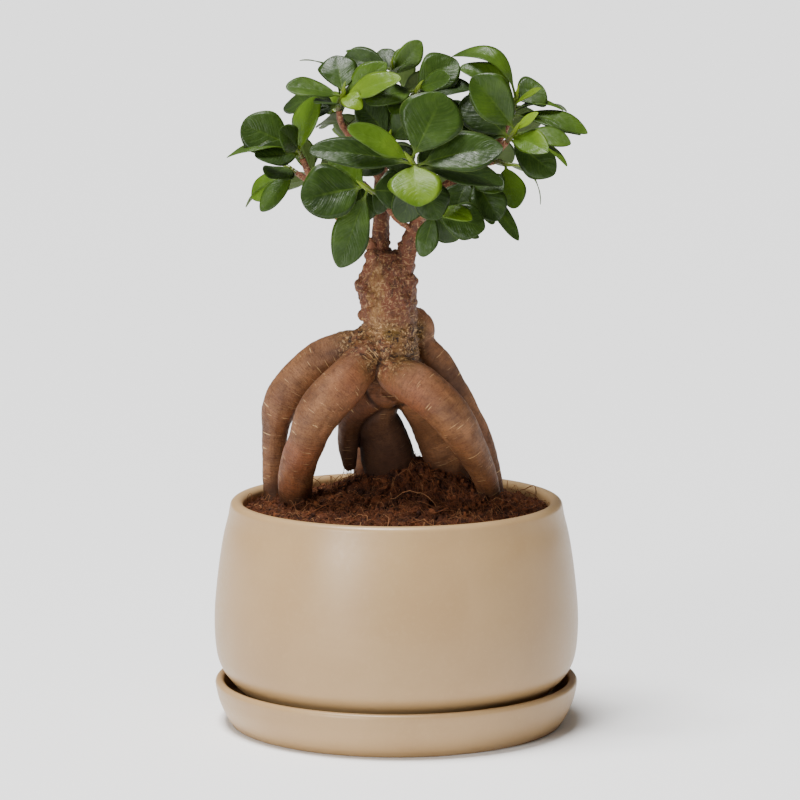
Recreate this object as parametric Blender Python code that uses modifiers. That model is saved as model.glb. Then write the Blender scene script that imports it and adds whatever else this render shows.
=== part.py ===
"""Ginseng ficus: a small grafted fig on swollen aerial roots, in a stoneware pot on its saucer.

Run with: blender --background --python part.py
Blender units are metres. Sizes below are millimetres, and MM turns them into metres.
The origin is the centre of the saucer's underside. +Z is up, and -Y is the front of the plant.
"""

import math
import random

import bmesh
import bpy
import numpy as np
from mathutils import Vector, noise

MM = 0.001
GAP = 0.3                     # clearance between two pieces that rest against each other

# Pot and saucer
POT_RADIUS = 90.0             # at its widest, a little under half height
POT_HEIGHT = 111.4            # top of the lip above the table
POT_WALL = 5.0
RIM_RADIUS = 78.5             # middle of the lip
LIP_RADIUS = 2.9              # half the lip's thickness
POT_FLOOR = 6.0               # thickness of the pot's floor
FOOT_HEIGHT = 2.0             # the pot stands on a low foot ring
FOOT_RADIUS = 58.0
FOOT_WIDTH = 6.0
DRAIN_RADIUS = 6.5
SAUCER_RADIUS = 89.8
SAUCER_HEIGHT = 22.4
SAUCER_FLOOR = 4.5
SAUCER_WALL = 4.6
LATHE_STEPS = 34

# Soil
SOIL_EDGE = 105.5             # height of the soil where it meets the pot
SOIL_DOME = 4.5               # rise of the soil from the wall to the middle
MOUND_HEIGHT = 18.5           # extra heap of soil behind the middle, under the back roots
MOUND_CENTRE = (6.0, 29.0)
MOUND_SPREAD = 19.5
SOIL_RINGS = 6
HOLE_CLEARANCE = 0.8          # a root's hole is this much wider than the root
HOLE_SIDES = 8
ROOT_DEPTH = 82.0             # height at which the buried ends of the roots stop

# Trunk and roots
ROOT_SIDES = 12
VOXEL = 1.7
TRUNK_TRIANGLES = 2000
BARK_RELIEF = 0.9             # the lumpy bark of the upper trunk

# Leaves
LEAF_THICKNESS = 0.75
PETIOLE_WIDTH = 1.3
LEAF_SPACING = 1.4            # between the roots of neighbouring leaves, down the stem
STEM_RADIUS = 1.25
BUD_LENGTH = 8.0
BLADE_STATIONS = (0.28, 0.58, 0.86)
BLADE_START = 0.07            # the share of a leaf that is stalk alone
SEED = 7

# Each root and the trunk: centre line points with a radius, (x, y, z, radius)
TRUNK = [(-3.4, 0, 168, 12.5), (-3.1, 0, 180, 14.2), (-3.0, 0, 190, 13.6), (-3.0, 0, 200, 12.9),
         (-3.8, 0, 208, 13.4), (-4.2, 0, 215, 14.4), (-3.9, 0, 222, 13.2), (-2.9, 0, 229, 11.4),
         (-2.4, 0, 234, 9.6)]
ROOTS = {
    "far_left": [(-12, 2, 188.5, 7.9), (-18, 4, 187.4, 8.3), (-25, 6, 185.3, 8.7), (-32, 7, 182.6, 8.9),
                 (-39.3, 8, 178.6, 9.2), (-46.4, 8.5, 172.2, 9.4), (-51.5, 9, 165.9, 9.6),
                 (-55.5, 10, 159.9, 9.2), (-58, 12, 153.2, 8.4), (-59.5, 14, 146, 7.2), (-60.6, 16, 136, 6.3),
                 (-60.7, 18, 125, 6.2), (-60.5, 20, 112, 5.8), (-59, 20, 98, 4.9), (-57, 20, 86, 4.0)],
    "front_left": [(-8, -3, 187, 8.0), (-14, -7, 183, 9.2), (-19, -12, 177.5, 9.8), (-24.6, -17, 171.8, 10.8),
                   (-31.4, -20, 165.3, 11.1), (-37.0, -21, 158, 11.1), (-41.0, -20, 150.6, 10.2),
                   (-43.9, -17, 142.7, 9.1), (-47.2, -12, 133.5, 9.0), (-49.3, -5, 123.4, 8.7),
                   (-50.0, 3, 110, 7.6), (-49, 5, 96, 6.2), (-47, 5, 84, 4.8)],
    "front_right": [(-4, -5, 178, 8.5), (0, -12, 175, 9.6), (6, -17, 172.5, 10.4), (12.5, -21, 168.7, 10.6),
                    (19.2, -23, 163.5, 10.4), (25.3, -23, 157, 10.0), (30.2, -21, 150, 9.3),
                    (34.6, -17, 142, 8.4), (38.6, -12, 134, 7.4), (42.6, -6, 125, 6.4), (46.2, 2, 111.7, 5.4),
                    (45.5, 5, 97, 4.6), (44, 6, 85, 3.8)],
    "far_right": [(3, 4, 201, 5.5), (8.5, 8, 199.5, 6.2), (12.4, 10, 195.5, 6.6), (12.6, 12, 188.3, 6.3),
                  (17.3, 13, 180.2, 6.9), (21.6, 13.5, 175, 7.1), (26.4, 14, 167, 7.2),
                  (30.8, 14.5, 158.6, 7.2), (35, 15, 150.4, 7.2), (38.8, 16, 142.4, 7.1),
                  (42, 17, 134.4, 7.0), (44.8, 18.5, 125.4, 6.8), (47, 20, 115, 6.4), (47.8, 21, 104, 5.8),
                  (47.5, 22, 94, 4.8), (46, 22, 86, 4.0)],
    "inner_right": [(2, 2, 172, 8.0), (8, 7, 163, 9.2), (12.6, 12, 155, 10.0), (16.9, 17, 148, 10.6),
                    (20.4, 21.5, 140, 11.0), (23.6, 25, 131.5, 11.2), (27, 28, 122.5, 10.4),
                    (29.4, 30, 112, 9.4), (29.6, 31, 98, 7.4), (28.5, 32, 86, 5.4)],
    "middle_back": [(-6, 3, 172, 9.5), (-8.5, 8, 160, 9.6), (-9.6, 13, 150, 10.0), (-7.4, 17, 143, 11.0),
                    (-5.4, 21, 134.5, 12.6), (-4, 25, 126, 13.2), (-3, 28, 117, 12.2), (-2.6, 30, 108, 11.0),
                    (-2.5, 32, 97, 9.0), (-3, 32, 86, 6.6)],
    "hanging": [(-5, 2, 166, 8.4), (-12, 5, 160, 8.4), (-18.6, 9, 154, 7.6), (-22.8, 13, 147, 6.4),
                (-24, 17, 138.5, 5.3), (-23.6, 20, 129, 4.3), (-23.2, 22, 122.5, 3.0)],
    "rear": [(-3, 6, 184, 8.5), (-4, 20, 181.5, 8.8), (-6, 34, 173.5, 8.6), (-9, 45, 160, 8.4),
             (-12, 52, 144, 8.0), (-14, 56, 128, 7.4), (-15, 57, 112, 6.8), (-15, 57, 98, 5.4),
             (-15, 56, 86, 4.2)],
}
HANGING_ROOTS = ("hanging",)

# Lumps of bark on the trunk, (x, y, z, radius)
BURLS = [(-17.2, -3, 217, 3.4), (5.4, -5, 219, 4.9), (-12.5, -9.5, 212, 5.0), (3.5, -9.5, 210, 4.8),
         (-15.8, -2, 203, 2.6), (-9.0, 10.5, 216, 5.2), (3.0, 10.0, 212, 5.0), (4.0, -3.5, 228, 4.6),
         (-11.2, -3.0, 231, 4.4), (-3.5, -12.0, 193, 3.4)]

# Woody branches, (x, y, z, radius). They end where nothing more leaves them.
BRANCHES = {
    "left_leader": [(-5.0, 1, 224, 7.0), (-8.2, 3, 236, 4.7), (-7.6, 5, 246, 4.3), (-7.6, 6, 256, 4.1),
                    (-7.6, 8, 268, 3.7), (-6, 7, 283, 3.1), (-3.5, 4, 299, 2.3)],
    "right_leader": [(1.0, -2, 222, 6.0), (5.2, -6, 235, 4.4), (7.8, -8, 243, 3.8), (11.0, -10, 250.5, 3.2),
                     (13.4, -12, 257.4, 2.6), (16.0, -14, 261.6, 2.2), (20, -13, 265, 2.0),
                     (28, -8, 269.5, 1.9), (38, -6, 275, 1.8), (45, -8, 278.6, 1.8)],
    "left_arm": [(-9, 0, 230, 3.4), (-13.5, -1, 238, 2.6), (-20, -4, 245, 2.0), (-28.5, -8, 251.7, 1.8),
                 (-36, -10, 260, 1.8), (-41.3, -12, 269, 1.9)],
    "rear_arm": [(-6.8, 4, 240, 3.6), (-6, 14, 249, 2.8), (-3, 25, 258, 2.3), (0, 34, 264, 2.0)],
}


def leaf(at, reach, width, face=None, arch=0.05, fold=0.14):
    """One leaf: its place along the stem (1 is the apex), the way from there to its tip, and its blade.

    face is roughly the way that its upper side looks, arch how far it bows, fold how it folds up.
    """
    return {"at": at, "reach": reach, "width": width, "face": face, "arch": arch, "fold": fold}


# Leafy shoots: the woody twig that carries one, (x, y, z, radius), its apex, and its leaves
SHOOTS = {
    "front": {
        "twig": [(15.0, -14, 261, 2.1), (17, -23, 265, 1.9), (15.5, -34, 270, 1.7), (11.5, -43, 276, 1.5)],
        "apex": (7, -52, 283),
        "leaves": [
            leaf(1.0, (15.5, 8, 31), 31, (0, -1, 0.2), 0.03, 0.1),
            leaf(0.8, (-49, -6, 6), 17, (0, -0.8, 0.6), 0.06, 0.2),
            leaf(1.0, (-30, -7, 16), 14.5, (0.1, -0.8, 0.6), 0.06, 0.2),
            leaf(0.8, (43, 3, 6.8), 22, (0, -0.8, 0.6), 0.06),
            leaf(0.9, (2.8, -17, -20), 26, (0.05, -0.85, 0.52), 0.09, 0.12),
            leaf(0.5, (42, 10, -9), 20, (0.1, -0.6, 0.8), 0.05),
            leaf(0.3, (10, -2, -24), 19, (0.3, -1, 0.1), 0.05),
            leaf(0.15, (-8, 2, -25), 16, (-0.1, -1, 0.1), 0.04),
        ],
    },
    "front_left": {
        "twig": [(8.4, -9, 245, 1.6), (0.5, -15, 251, 1.4), (-4.5, -20, 257.5, 1.3),
                 (-8, -27, 262.5, 1.3)],
        "apex": (-15, -38, 269),
        "leaves": [
            leaf(1.0, (-30.4, -8, -5.5), 28, (0, -0.95, 0.3), 0.05, 0.26),
            leaf(1.0, (-16.7, 3, 13.5), 17, (0.2, -0.9, 0.4), 0.05),
            leaf(0.9, (-13, -4, -38), 18.5, (0, -1, 0.05), 0.03),
            leaf(0.9, (18, 8, -3.5), 21, (0.1, -0.88, 0.4), 0.05),
            leaf(0.6, (8, 6, -9), 13, (0.3, -1, 0.2), 0.04),
        ],
    },
    "left": {
        "twig": [(-40.5, -11.5, 268, 1.8), (-43.6, -13, 276, 1.6), (-45.5, -14, 280.5, 1.5)],
        "apex": (-48, -16, 285.5),
        "leaves": [
            leaf(1.0, (-26.5, -2, 12), 22.5, (-0.2, -0.88, 0.42), 0.05),
            leaf(0.9, (-33.8, -10, -3.2), 14, (0, -0.12, 1), 0.13, 0.1),
            leaf(0.5, (-21, -13, -0.5), 17, (-0.1, -0.8, 0.6), 0.04),
            leaf(1.0, (-8, -14, 10), 15, (0.1, -0.88, 0.45), 0.08, 0.2),
            leaf(0.8, (10, -3, 26), 19, (-0.7, -0.65, 0.3), 0.12, 0.2),
        ],
    },
    "left_low": {
        "twig": [(-40.5, -11.5, 268, 1.6), (-44.5, -8.5, 270.5, 1.5), (-48, -6, 272.5, 1.4)],
        "apex": (-52, -4, 275),
        "leaves": [
            leaf(1.0, (-9, -18, -3.5), 16, (0, -0.6, 0.8), 0.08),
            leaf(1.0, (-18.6, 4, -15), 14, (-0.6, -0.8, 0.2), 0.06),
            leaf(0.8, (-14.5, -7, -20), 11.5, (-0.4, -0.9, 0.2), 0.04),
            leaf(0.9, (-22, 12, -20), 10, (-0.5, 0.1, 0.8), 0.08),
        ],
    },
    "upper_left": {
        "twig": [(-7.6, 7.5, 268, 2.2), (-14.5, 0, 279, 1.9), (-21, -8, 289, 1.7),
                 (-26.5, -14, 297.5, 1.6), (-27.6, -17, 304, 1.5)],
        "apex": (-25.6, -22, 312),
        "leaves": [
            leaf(1.0, (-3.4, 13, 18), 19.5, (0.12, -0.97, 0.2), 0.06),
            leaf(1.0, (-27.4, -4, 3.8), 15, (0, -0.55, 0.85), 0.04),
            leaf(0.8, (-21, 20, 16.5), 9, (0, 0.25, 1), 0.26),
            leaf(0.6, (-12, -14, -0.5), 12, (0, -0.3, 0.95), 0.08),
            leaf(1.0, (9, -8, -6.5), 11, (0.3, -0.9, 0.35), 0.24, 0.2),
            leaf(1.0, (28, -6, 8), 15, (0, -0.68, 0.73), 0.07, 0.24),
            leaf(1.0, (21, 3, 15), 14, (-0.1, -0.85, 0.5), 0.06),
            leaf(0.3, (-27.5, 25, -2), 17, (0, -0.72, 0.7), 0.08),
            leaf(0.1, (-22, 8, -5), 14, (-0.1, -0.7, 0.7), 0.06),
        ],
    },
    "top": {
        "twig": [(-3.9, 4.6, 297, 2.0), (-3.2, 0, 307, 1.7), (-2.6, -5, 315, 1.5)],
        "apex": (-2, -11, 323),
        "leaves": [
            leaf(1.0, (-23.5, 6, 5.5), 16, (0, -0.86, 0.5), 0.07),
            leaf(0.7, (-22, 14, 11), 12, (0, -0.1, 1), 0.08),
            leaf(1.0, (-5, 12, 9.5), 12, (0, -0.75, 0.66), 0.05),
            leaf(1.0, (10, 9, 9.5), 11, (-0.2, -0.8, 0.5), 0.05),
            leaf(1.0, (14, 1, 14), 12, (0.2, -0.95, 0.25), 0.04),
            leaf(0.8, (6, -13, 5), 9, (0, -0.6, 0.8), 0.06),
        ],
    },
    "top_right": {
        "twig": [(-4.2, 5, 295, 1.9), (2, -4, 304, 1.6), (6.5, -11, 309, 1.5)],
        "apex": (10, -17, 314),
        "leaves": [
            leaf(1.0, (16, -9, 6), 13, (0, -0.8, 0.6), 0.05),
            leaf(0.8, (20, 10, 14.5), 21, (0, -0.9, 0.4), 0.06),
            leaf(0.9, (-24, -11, -5.5), 19, (0, -0.6, 0.8), 0.08),
            leaf(0.8, (27, 3, 1.5), 16, (0, -0.55, 0.85), 0.05),
            leaf(0.5, (-10, -12, -9), 13, (-0.2, -0.7, 0.7), 0.06),
        ],
    },
    "right_top": {
        "twig": [(43, -7.6, 277.8, 1.8), (50, -3, 288, 1.6), (55, -1.5, 298, 1.5)],
        "apex": (58, 0, 308),
        "leaves": [
            leaf(1.0, (-31, 5, 20.5), 14, (-0.1, -0.45, 0.9), 0.36, 0.18),
            leaf(0.9, (-27, -7, 17), 15, (0, -0.7, 0.7), 0.24, 0.18),
            leaf(1.0, (13.5, 6, 6), 19.5, (0.1, -0.8, 0.6), 0.06),
            leaf(1.0, (12, -10, 6), 7, (0, -0.6, 0.8), 0.04),
            leaf(0.9, (23.5, 1, -4.5), 10, (0.3, -0.15, 0.95), 0.15),
            leaf(0.8, (26, 15, -5), 11, (0.3, 0, 0.95), 0.15),
            leaf(0.6, (36, -7, -12), 16, (0.3, -0.55, 0.8), 0.1),
            leaf(0.3, (34, 4, -10.5), 14, (0.3, -0.3, 0.9), 0.06),
        ],
    },
    "right": {
        "twig": [(43, -7.6, 277.8, 1.8), (49, -14, 284, 1.6), (53.5, -21, 289.5, 1.5)],
        "apex": (57, -28, 295),
        "leaves": [
            leaf(1.0, (-21, -4, 26), 22, (0.2, -0.95, 0.3), 0.05, 0.26),
            leaf(0.6, (-23.5, 9, 17), 21, (0.1, -0.9, 0.4), 0.05),
            leaf(1.0, (11, -4, 9), 6, (0.2, -0.6, 0.7), 0.05),
            leaf(0.9, (27, -5, -5.5), 15, (0.2, -0.6, 0.8), 0.08),
            leaf(0.8, (25, -14, -15), 10, (0.4, -0.2, 0.9), 0.12),
            leaf(0.8, (16, -17, -8), 14, (0, -0.85, 0.5), 0.06),
            leaf(0.2, (22, -2, -17), 19, (0.3, -0.9, 0.25), 0.05),
            leaf(0.1, (-29, 6, 9), 16, (0, -0.9, 0.45), 0.05),
        ],
    },
    "right_low": {
        "twig": [(43, -7.6, 277.8, 1.7), (47.5, -8.5, 278.4, 1.5)],
        "apex": (52.5, -10, 277.5),
        "leaves": [
            leaf(1.0, (4.5, -8, -21), 14.5, (0.4, -0.9, 0.1), 0.05, 0.18),
            leaf(1.0, (17.5, 2, -20), 8, (0.75, -0.1, 0.6), 0.24),
            leaf(0.4, (18, 20, -8), 15, (0.4, 0.4, 0.8), 0.06),
        ],
    },
    "front_low": {
        "twig": [(11.2, -10.4, 251, 1.8), (14, -18, 253.5, 1.5), (16, -26, 255, 1.4)],
        "apex": (19.5, -34, 256.5),
        "leaves": [
            leaf(0.8, (-6.5, -5, -21), 11.5, (-0.2, -1, 0.05), 0.03),
            leaf(1.0, (16.6, -13, -2.5), 11, (0.1, -0.75, 0.65), 0.14),
            leaf(1.0, (23, -5, -7.5), 19, (0.1, -0.92, 0.35), 0.05),
            leaf(0.7, (11, 4, -14), 14, (0.2, -1, 0.1), 0.03),
            leaf(0.6, (22, 10, -13), 12, (0.5, -0.5, 0.6), 0.05),
        ],
    },
    "inner_right": {
        "twig": [(19.5, -13, 264.6, 1.8), (25, -15.5, 268, 1.6), (31, -18, 270.5, 1.5)],
        "apex": (37, -22, 272),
        "leaves": [
            leaf(1.0, (12, -9, -20), 18, (0.1, -0.95, 0.25), 0.05),
            leaf(0.8, (-8, -8, -17), 17, (-0.1, -0.95, 0.2), 0.05),
            leaf(1.0, (14, -14, -5), 15, (0.1, -0.8, 0.6), 0.06),
            leaf(0.7, (24, 2, -30.5), 11.5, (0.7, -0.6, 0.3), 0.05),
            leaf(0.5, (13, -1, -22), 12, (0.7, -0.6, 0.2), 0.05),
        ],
    },
    "middle": {
        "twig": [(-6.4, 7, 280, 2.0), (-5.5, 0, 284, 1.7), (-4.5, -5, 286.5, 1.5)],
        "apex": (-3.5, -10, 290),
        "leaves": [
            leaf(1.0, (-15, -6, 18.5), 18, (0, -0.88, 0.45), 0.05),
            leaf(1.0, (1, 0, 20), 15, (0, -0.9, 0.4), 0.05),
            leaf(1.0, (15, -8, 14), 18, (0, -0.9, 0.4), 0.05),
            leaf(0.8, (-18, -8, -3), 16, (0, -0.8, 0.6), 0.06),
            leaf(0.6, (9, -12, -14), 16, (0, -0.9, 0.4), 0.05),
        ],
    },
    "middle_left": {
        "twig": [(-7.8, 6.4, 259, 1.9), (-12, 0, 263, 1.7), (-16, -7, 267.5, 1.5)],
        "apex": (-20, -14, 272),
        "leaves": [
            leaf(0.9, (-14, -6, -9), 17, (-0.2, -0.9, 0.3), 0.05),
            leaf(0.8, (11, 0, 12), 16, (0, -0.85, 0.5), 0.05),
            leaf(0.4, (2, -6, -20), 16, (0, -1, 0.1), 0.05),
            leaf(0.2, (-8, 3, -17), 14, (-0.3, -0.9, 0.2), 0.05),
        ],
    },
    "middle_right": {
        "twig": [(28, -8, 269.5, 1.9), (28, -10, 277, 1.7), (27.5, -12, 284, 1.5)],
        "apex": (26.5, -12.5, 290),
        "leaves": [
            leaf(1.0, (-7, -1, 21), 18, (0, -0.9, 0.4), 0.05),
            leaf(1.0, (4, 9, 18), 18, (0.1, -0.9, 0.4), 0.05),
            leaf(0.8, (15, -2, 6), 14, (0, -0.7, 0.7), 0.05),
            leaf(0.8, (-18, 4, 7), 17, (0, -0.85, 0.5), 0.05),
            leaf(0.5, (-15, -6, -11), 17, (-0.1, -0.9, 0.3), 0.05),
        ],
    },
}

# Shoots round the back and inside, where the leaves follow one spiral rule: the twig, the apex, the leaf
# count, the longest leaf and the turn of the first one in degrees
RULED_SHOOTS = {
    "back_left": {"twig": [(-28, -7.8, 251.3, 1.7), (-33, 4, 257, 1.6), (-38, 15, 264, 1.5)],
                  "apex": (-42, 25, 270), "count": 6, "length": 28, "turn": 64},
    "back": {"twig": [(-1.5, 30, 261.2, 1.8), (-6, 38, 268, 1.6), (-11, 44, 276, 1.5)],
             "apex": (-14, 53, 281), "count": 7, "length": 32, "turn": 130},
    "back_low": {"twig": [(-0.2, 33.4, 263.6, 1.8), (6, 42, 265, 1.6), (12, 49, 266, 1.5)],
                 "apex": (20, 56, 264), "count": 6, "length": 31, "turn": 250},
    "right_back": {"twig": [(27.5, -8.2, 269.2, 1.8), (34, 6, 274, 1.7), (39, 18, 280, 1.6),
                            (42, 28, 285, 1.5)],
                   "apex": (42, 41, 289), "count": 7, "length": 33, "turn": 310},
    "top_back": {"twig": [(-4.6, 5.6, 292, 1.9), (-2, 14, 299, 1.7), (1, 22, 304, 1.5)],
                 "apex": (3, 29, 310), "count": 6, "length": 32, "turn": 0},
    "upper_back_left": {"twig": [(-7.4, 7.8, 270, 2.0), (-14, 13, 279, 1.8), (-21, 17, 290, 1.6)],
                        "apex": (-29, 21, 299), "count": 6, "length": 25, "turn": 90},
}
GOLDEN_ANGLE = math.radians(137.5)


def clear_scene():
    """Start from an empty file."""
    for item in list(bpy.data.objects):
        bpy.data.objects.remove(item)


def make_collection(name, hidden=False):
    collection = bpy.data.collections.new(name)
    bpy.context.scene.collection.children.link(collection)
    collection.hide_render = hidden
    return collection


def make_material(name, colour, roughness):
    material = bpy.data.materials.new(name)
    material.use_nodes = True
    shader = material.node_tree.nodes["Principled BSDF"]
    shader.inputs["Base Color"].default_value = (*colour, 1)
    shader.inputs["Roughness"].default_value = roughness
    shader.inputs["Metallic"].default_value = 0.0
    return material


def add_object(name, mesh, collection, material=None):
    made = bpy.data.objects.new(name, mesh)
    collection.objects.link(made)
    if material is not None:
        made.data.materials.clear()
        made.data.materials.append(material)
    return made


def mesh_of(name, points, faces):
    """A mesh from points in millimetres, with its faces turned outwards."""
    mesh = bpy.data.meshes.new(name)
    mesh.from_pydata([tuple(value * MM for value in point) for point in points], [], faces)
    shape = bmesh.new()
    shape.from_mesh(mesh)
    bmesh.ops.recalc_face_normals(shape, faces=shape.faces[:])
    shape.to_mesh(mesh)
    shape.free()
    return mesh


def baked(made):
    """Replace an object's mesh by what its modifiers make of it."""
    bpy.context.view_layer.update()
    graph = bpy.context.evaluated_depsgraph_get()
    mesh = bpy.data.meshes.new_from_object(made.evaluated_get(graph))
    made.modifiers.clear()
    made.data = mesh
    return made


def hide_helper(made):
    made.hide_render = True
    made.display_type = "WIRE"


def lathe(name, profile, collection, material, closed=False):
    """Turn a profile of (radius, height) about the Z axis. It runs down the outer side."""
    count = len(profile)
    edges = [(i, i + 1) for i in range(count - 1)]
    if closed:
        edges.append((count - 1, 0))
    mesh = bpy.data.meshes.new(name)
    mesh.from_pydata([(radius * MM, 0, height * MM) for radius, height in profile], edges, [])
    made = add_object(name, mesh, collection, material)
    turn = made.modifiers.new("Turn", "SCREW")
    turn.steps = LATHE_STEPS
    turn.render_steps = LATHE_STEPS
    turn.use_merge_vertices = True
    turn.merge_threshold = 0.0001
    turn.use_smooth_shade = True
    return made


def arc(centre, radius, start, end, count):
    """Points of a circular arc in a profile, with angles in degrees from the outward direction."""
    angles = [math.radians(start + (end - start) * i / (count - 1)) for i in range(count)]
    return [(centre[0] + radius * math.cos(a), centre[1] + radius * math.sin(a)) for a in angles]


def pot_wall_radius(height):
    """Outer radius of the pot: a belly that closes fast below and slowly above."""
    heights = (8.0, 11.0, 16.0, 22.0, 29.0, 38.0, 54.0, 73.0, 91.0, 104.0)
    radii = (63.5, 69.0, 75.6, 81.8, 86.8, 89.3, POT_RADIUS, 88.4, 85.8, 82.9)
    return float(np.interp(height, heights, radii))


def build_saucer(collection, material):
    lip = SAUCER_WALL / 2
    base_radius = SAUCER_RADIUS - 7.2
    inner_foot = base_radius - SAUCER_WALL
    profile = [(0.0, SAUCER_FLOOR), (inner_foot - 4.0, SAUCER_FLOOR)]
    profile += arc((inner_foot - 4.0, SAUCER_FLOOR + 4.0), 4.0, -60, -20, 2)
    profile += arc((SAUCER_RADIUS - lip, SAUCER_HEIGHT - lip), lip, 180, 0, 5)
    profile += [(SAUCER_RADIUS - 1.6, SAUCER_HEIGHT * 0.55), (base_radius + 1.2, 3.2)]
    profile += [(base_radius, 1.2), (base_radius - 1.4, 0.0), (0.0, 0.0)]
    return lathe("saucer", profile, collection, material)


def build_pot(collection, material):
    foot = SAUCER_FLOOR + GAP
    floor_under = foot + FOOT_HEIGHT
    floor_top = floor_under + POT_FLOOR
    outer = [(pot_wall_radius(z), z) for z in (104, 80, 56, 38, 26, 17, 11, 8)]
    foot_ring = [(FOOT_RADIUS + FOOT_WIDTH / 2, foot), (FOOT_RADIUS - FOOT_WIDTH / 2, foot),
                 (FOOT_RADIUS - FOOT_WIDTH / 2 - 1.5, floor_under)]
    drain = [(DRAIN_RADIUS, floor_under), (DRAIN_RADIUS, floor_top)]
    inner = [(pot_wall_radius(z + 3) - POT_WALL, z) for z in (17, 28, 42, 62, 102)]
    inner[0] = (inner[0][0] - 3.0, floor_top + 2.0)
    corner = [(inner[0][0] - 7.0, floor_top)]
    lip = arc((RIM_RADIUS, POT_HEIGHT - LIP_RADIUS), LIP_RADIUS, 180, 0, 5)
    return lathe("pot", outer + foot_ring + drain + corner + inner + lip, collection, material, closed=True)


def soil_height(x, y):
    """Top of the soil: a shallow dome, a heap behind the middle, and lumps that fade at the wall."""
    radius = math.hypot(x, y)
    dome = SOIL_DOME * max(0.0, 1 - (radius / 72) ** 2)
    away = math.hypot(x - MOUND_CENTRE[0], y - MOUND_CENTRE[1])
    mound = MOUND_HEIGHT * math.exp(-0.5 * (away / MOUND_SPREAD) ** 2)
    lumps = 1.6 * noise.noise(Vector((x, y, 3.0)) / 9.0) * max(0.0, 1 - (radius / 76) ** 4)
    return SOIL_EDGE + dome + mound + lumps


def soil_profile():
    floor = SAUCER_FLOOR + GAP + FOOT_HEIGHT + POT_FLOOR + GAP
    edge = pot_wall_radius(SOIL_EDGE) - POT_WALL - 2.6
    top = [(edge * i / SOIL_RINGS, SOIL_EDGE) for i in range(SOIL_RINGS + 1)]
    wall = [(pot_wall_radius(z + 3) - POT_WALL - 1.2, z) for z in (82, 50, 28)]
    return top + wall + [(pot_wall_radius(19) - POT_WALL - 7.0, floor + 4.0), (60.0, floor), (0.0, floor)]


def build_soil(collection, cutters, material):
    """A turned plug that fills the pot, its top pushed up by soil_height, with holes for the roots."""
    soil = baked(lathe("soil", soil_profile(), collection, material))
    for point in soil.data.vertices:
        if point.co.z > (SOIL_EDGE - 0.5) * MM:
            point.co.z = soil_height(point.co.x / MM, point.co.y / MM) * MM
    holes = make_collection("root_holes", hidden=True)
    for name, line in ROOTS.items():
        if name in HANGING_ROOTS:
            continue
        flat = 1 / math.cos(math.pi / HOLE_SIDES)
        sleeve = [(x, y, z, (radius + HOLE_CLEARANCE) * flat) for x, y, z, radius in line if z < 138]
        sleeve[-1] = (*sleeve[-1][:2], ROOT_DEPTH - 2 * HOLE_CLEARANCE, sleeve[-1][3])
        hole = add_object("hole_" + name, tube_mesh("hole_" + name, sleeve, HOLE_SIDES, 1), holes)
        hide_helper(hole)
        cutters.append(hole)
    cut = soil.modifiers.new("Root holes", "BOOLEAN")
    cut.operation = "DIFFERENCE"
    cut.operand_type = "COLLECTION"
    cut.collection = holes
    cut.solver = "EXACT"
    return baked(soil)


def smooth_line(line, per_span):
    """Points of a Catmull-Rom curve through a list of points of any dimension."""
    points = np.array(line, float)
    padded = np.vstack([2 * points[0] - points[1], points, 2 * points[-1] - points[-2]])
    found = []
    for i in range(len(points) - 1):
        a, b, c, d = padded[i : i + 4]
        for t in np.arange(per_span) / per_span:
            found.append(0.5 * (2 * b + (c - a) * t + (2 * a - 5 * b + 4 * c - d) * t**2
                                + (3 * b - a - 3 * c + d) * t**3))
    found.append(points[-1])
    return np.array(found)


def frames_along(centres):
    """Unit tangent and two unit normals at each point of a line, turned as little as possible."""
    tangents = np.gradient(centres, axis=0)
    tangents /= np.linalg.norm(tangents, axis=1)[:, None]
    start = np.array((0.0, 1.0, 0.0)) if abs(tangents[0][1]) < 0.9 else np.array((1.0, 0.0, 0.0))
    normals = []
    for tangent in tangents:
        start = start - np.dot(start, tangent) * tangent
        start = start / np.linalg.norm(start)
        normals.append(start)
    normals = np.array(normals)
    return tangents, normals, np.cross(tangents, normals)


def tube_mesh(name, line, sides, per_span):
    """A closed tube along points with a radius, (x, y, z, radius)."""
    path = smooth_line(line, per_span)
    _, normals, others = frames_along(path[:, :3])
    angles = 2 * math.pi * np.arange(sides) / sides
    rings = (path[:, None, :3] + path[:, None, 3:4] * (np.cos(angles)[None, :, None] * normals[:, None]
             + np.sin(angles)[None, :, None] * others[:, None]))
    points = rings.reshape(-1, 3)
    faces = [tuple(range(sides)), tuple(range(len(points) - 1, len(points) - 1 - sides, -1))]
    for ring in range(len(path) - 1):
        for side in range(sides):
            after = (side + 1) % sides
            low = ring * sides
            faces.append((low + side, low + after, low + sides + after, low + sides + side))
    return mesh_of(name, points, faces)


def lump_mesh(name, lump):
    mesh = bpy.data.meshes.new(name)
    shape = bmesh.new()
    bmesh.ops.create_icosphere(shape, subdivisions=2, radius=lump[3] * MM)
    bmesh.ops.translate(shape, vec=Vector(lump[:3]) * MM, verts=shape.verts)
    shape.to_mesh(mesh)
    shape.free()
    return mesh


def join_meshes(name, meshes):
    shape = bmesh.new()
    for mesh in meshes:
        shape.from_mesh(mesh)
    joined = bpy.data.meshes.new(name)
    shape.to_mesh(joined)
    shape.free()
    return joined


def roughen_bark(made):
    """Push the upper trunk's surface in and out, as its scaly bark does."""
    mesh = made.data
    for point, face_normal in zip(mesh.vertices, [tuple(v.normal) for v in mesh.vertices]):
        height = point.co.z / MM
        share = min(1.0, max(0.0, (height - 186) / 14)) * min(1.0, max(0.0, (246 - height) / 10))
        bump = noise.noise(Vector((point.co.x, point.co.y, point.co.z * 0.55)) / (5.5 * MM))
        point.co += Vector(face_normal) * (BARK_RELIEF * MM * share * bump)


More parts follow.
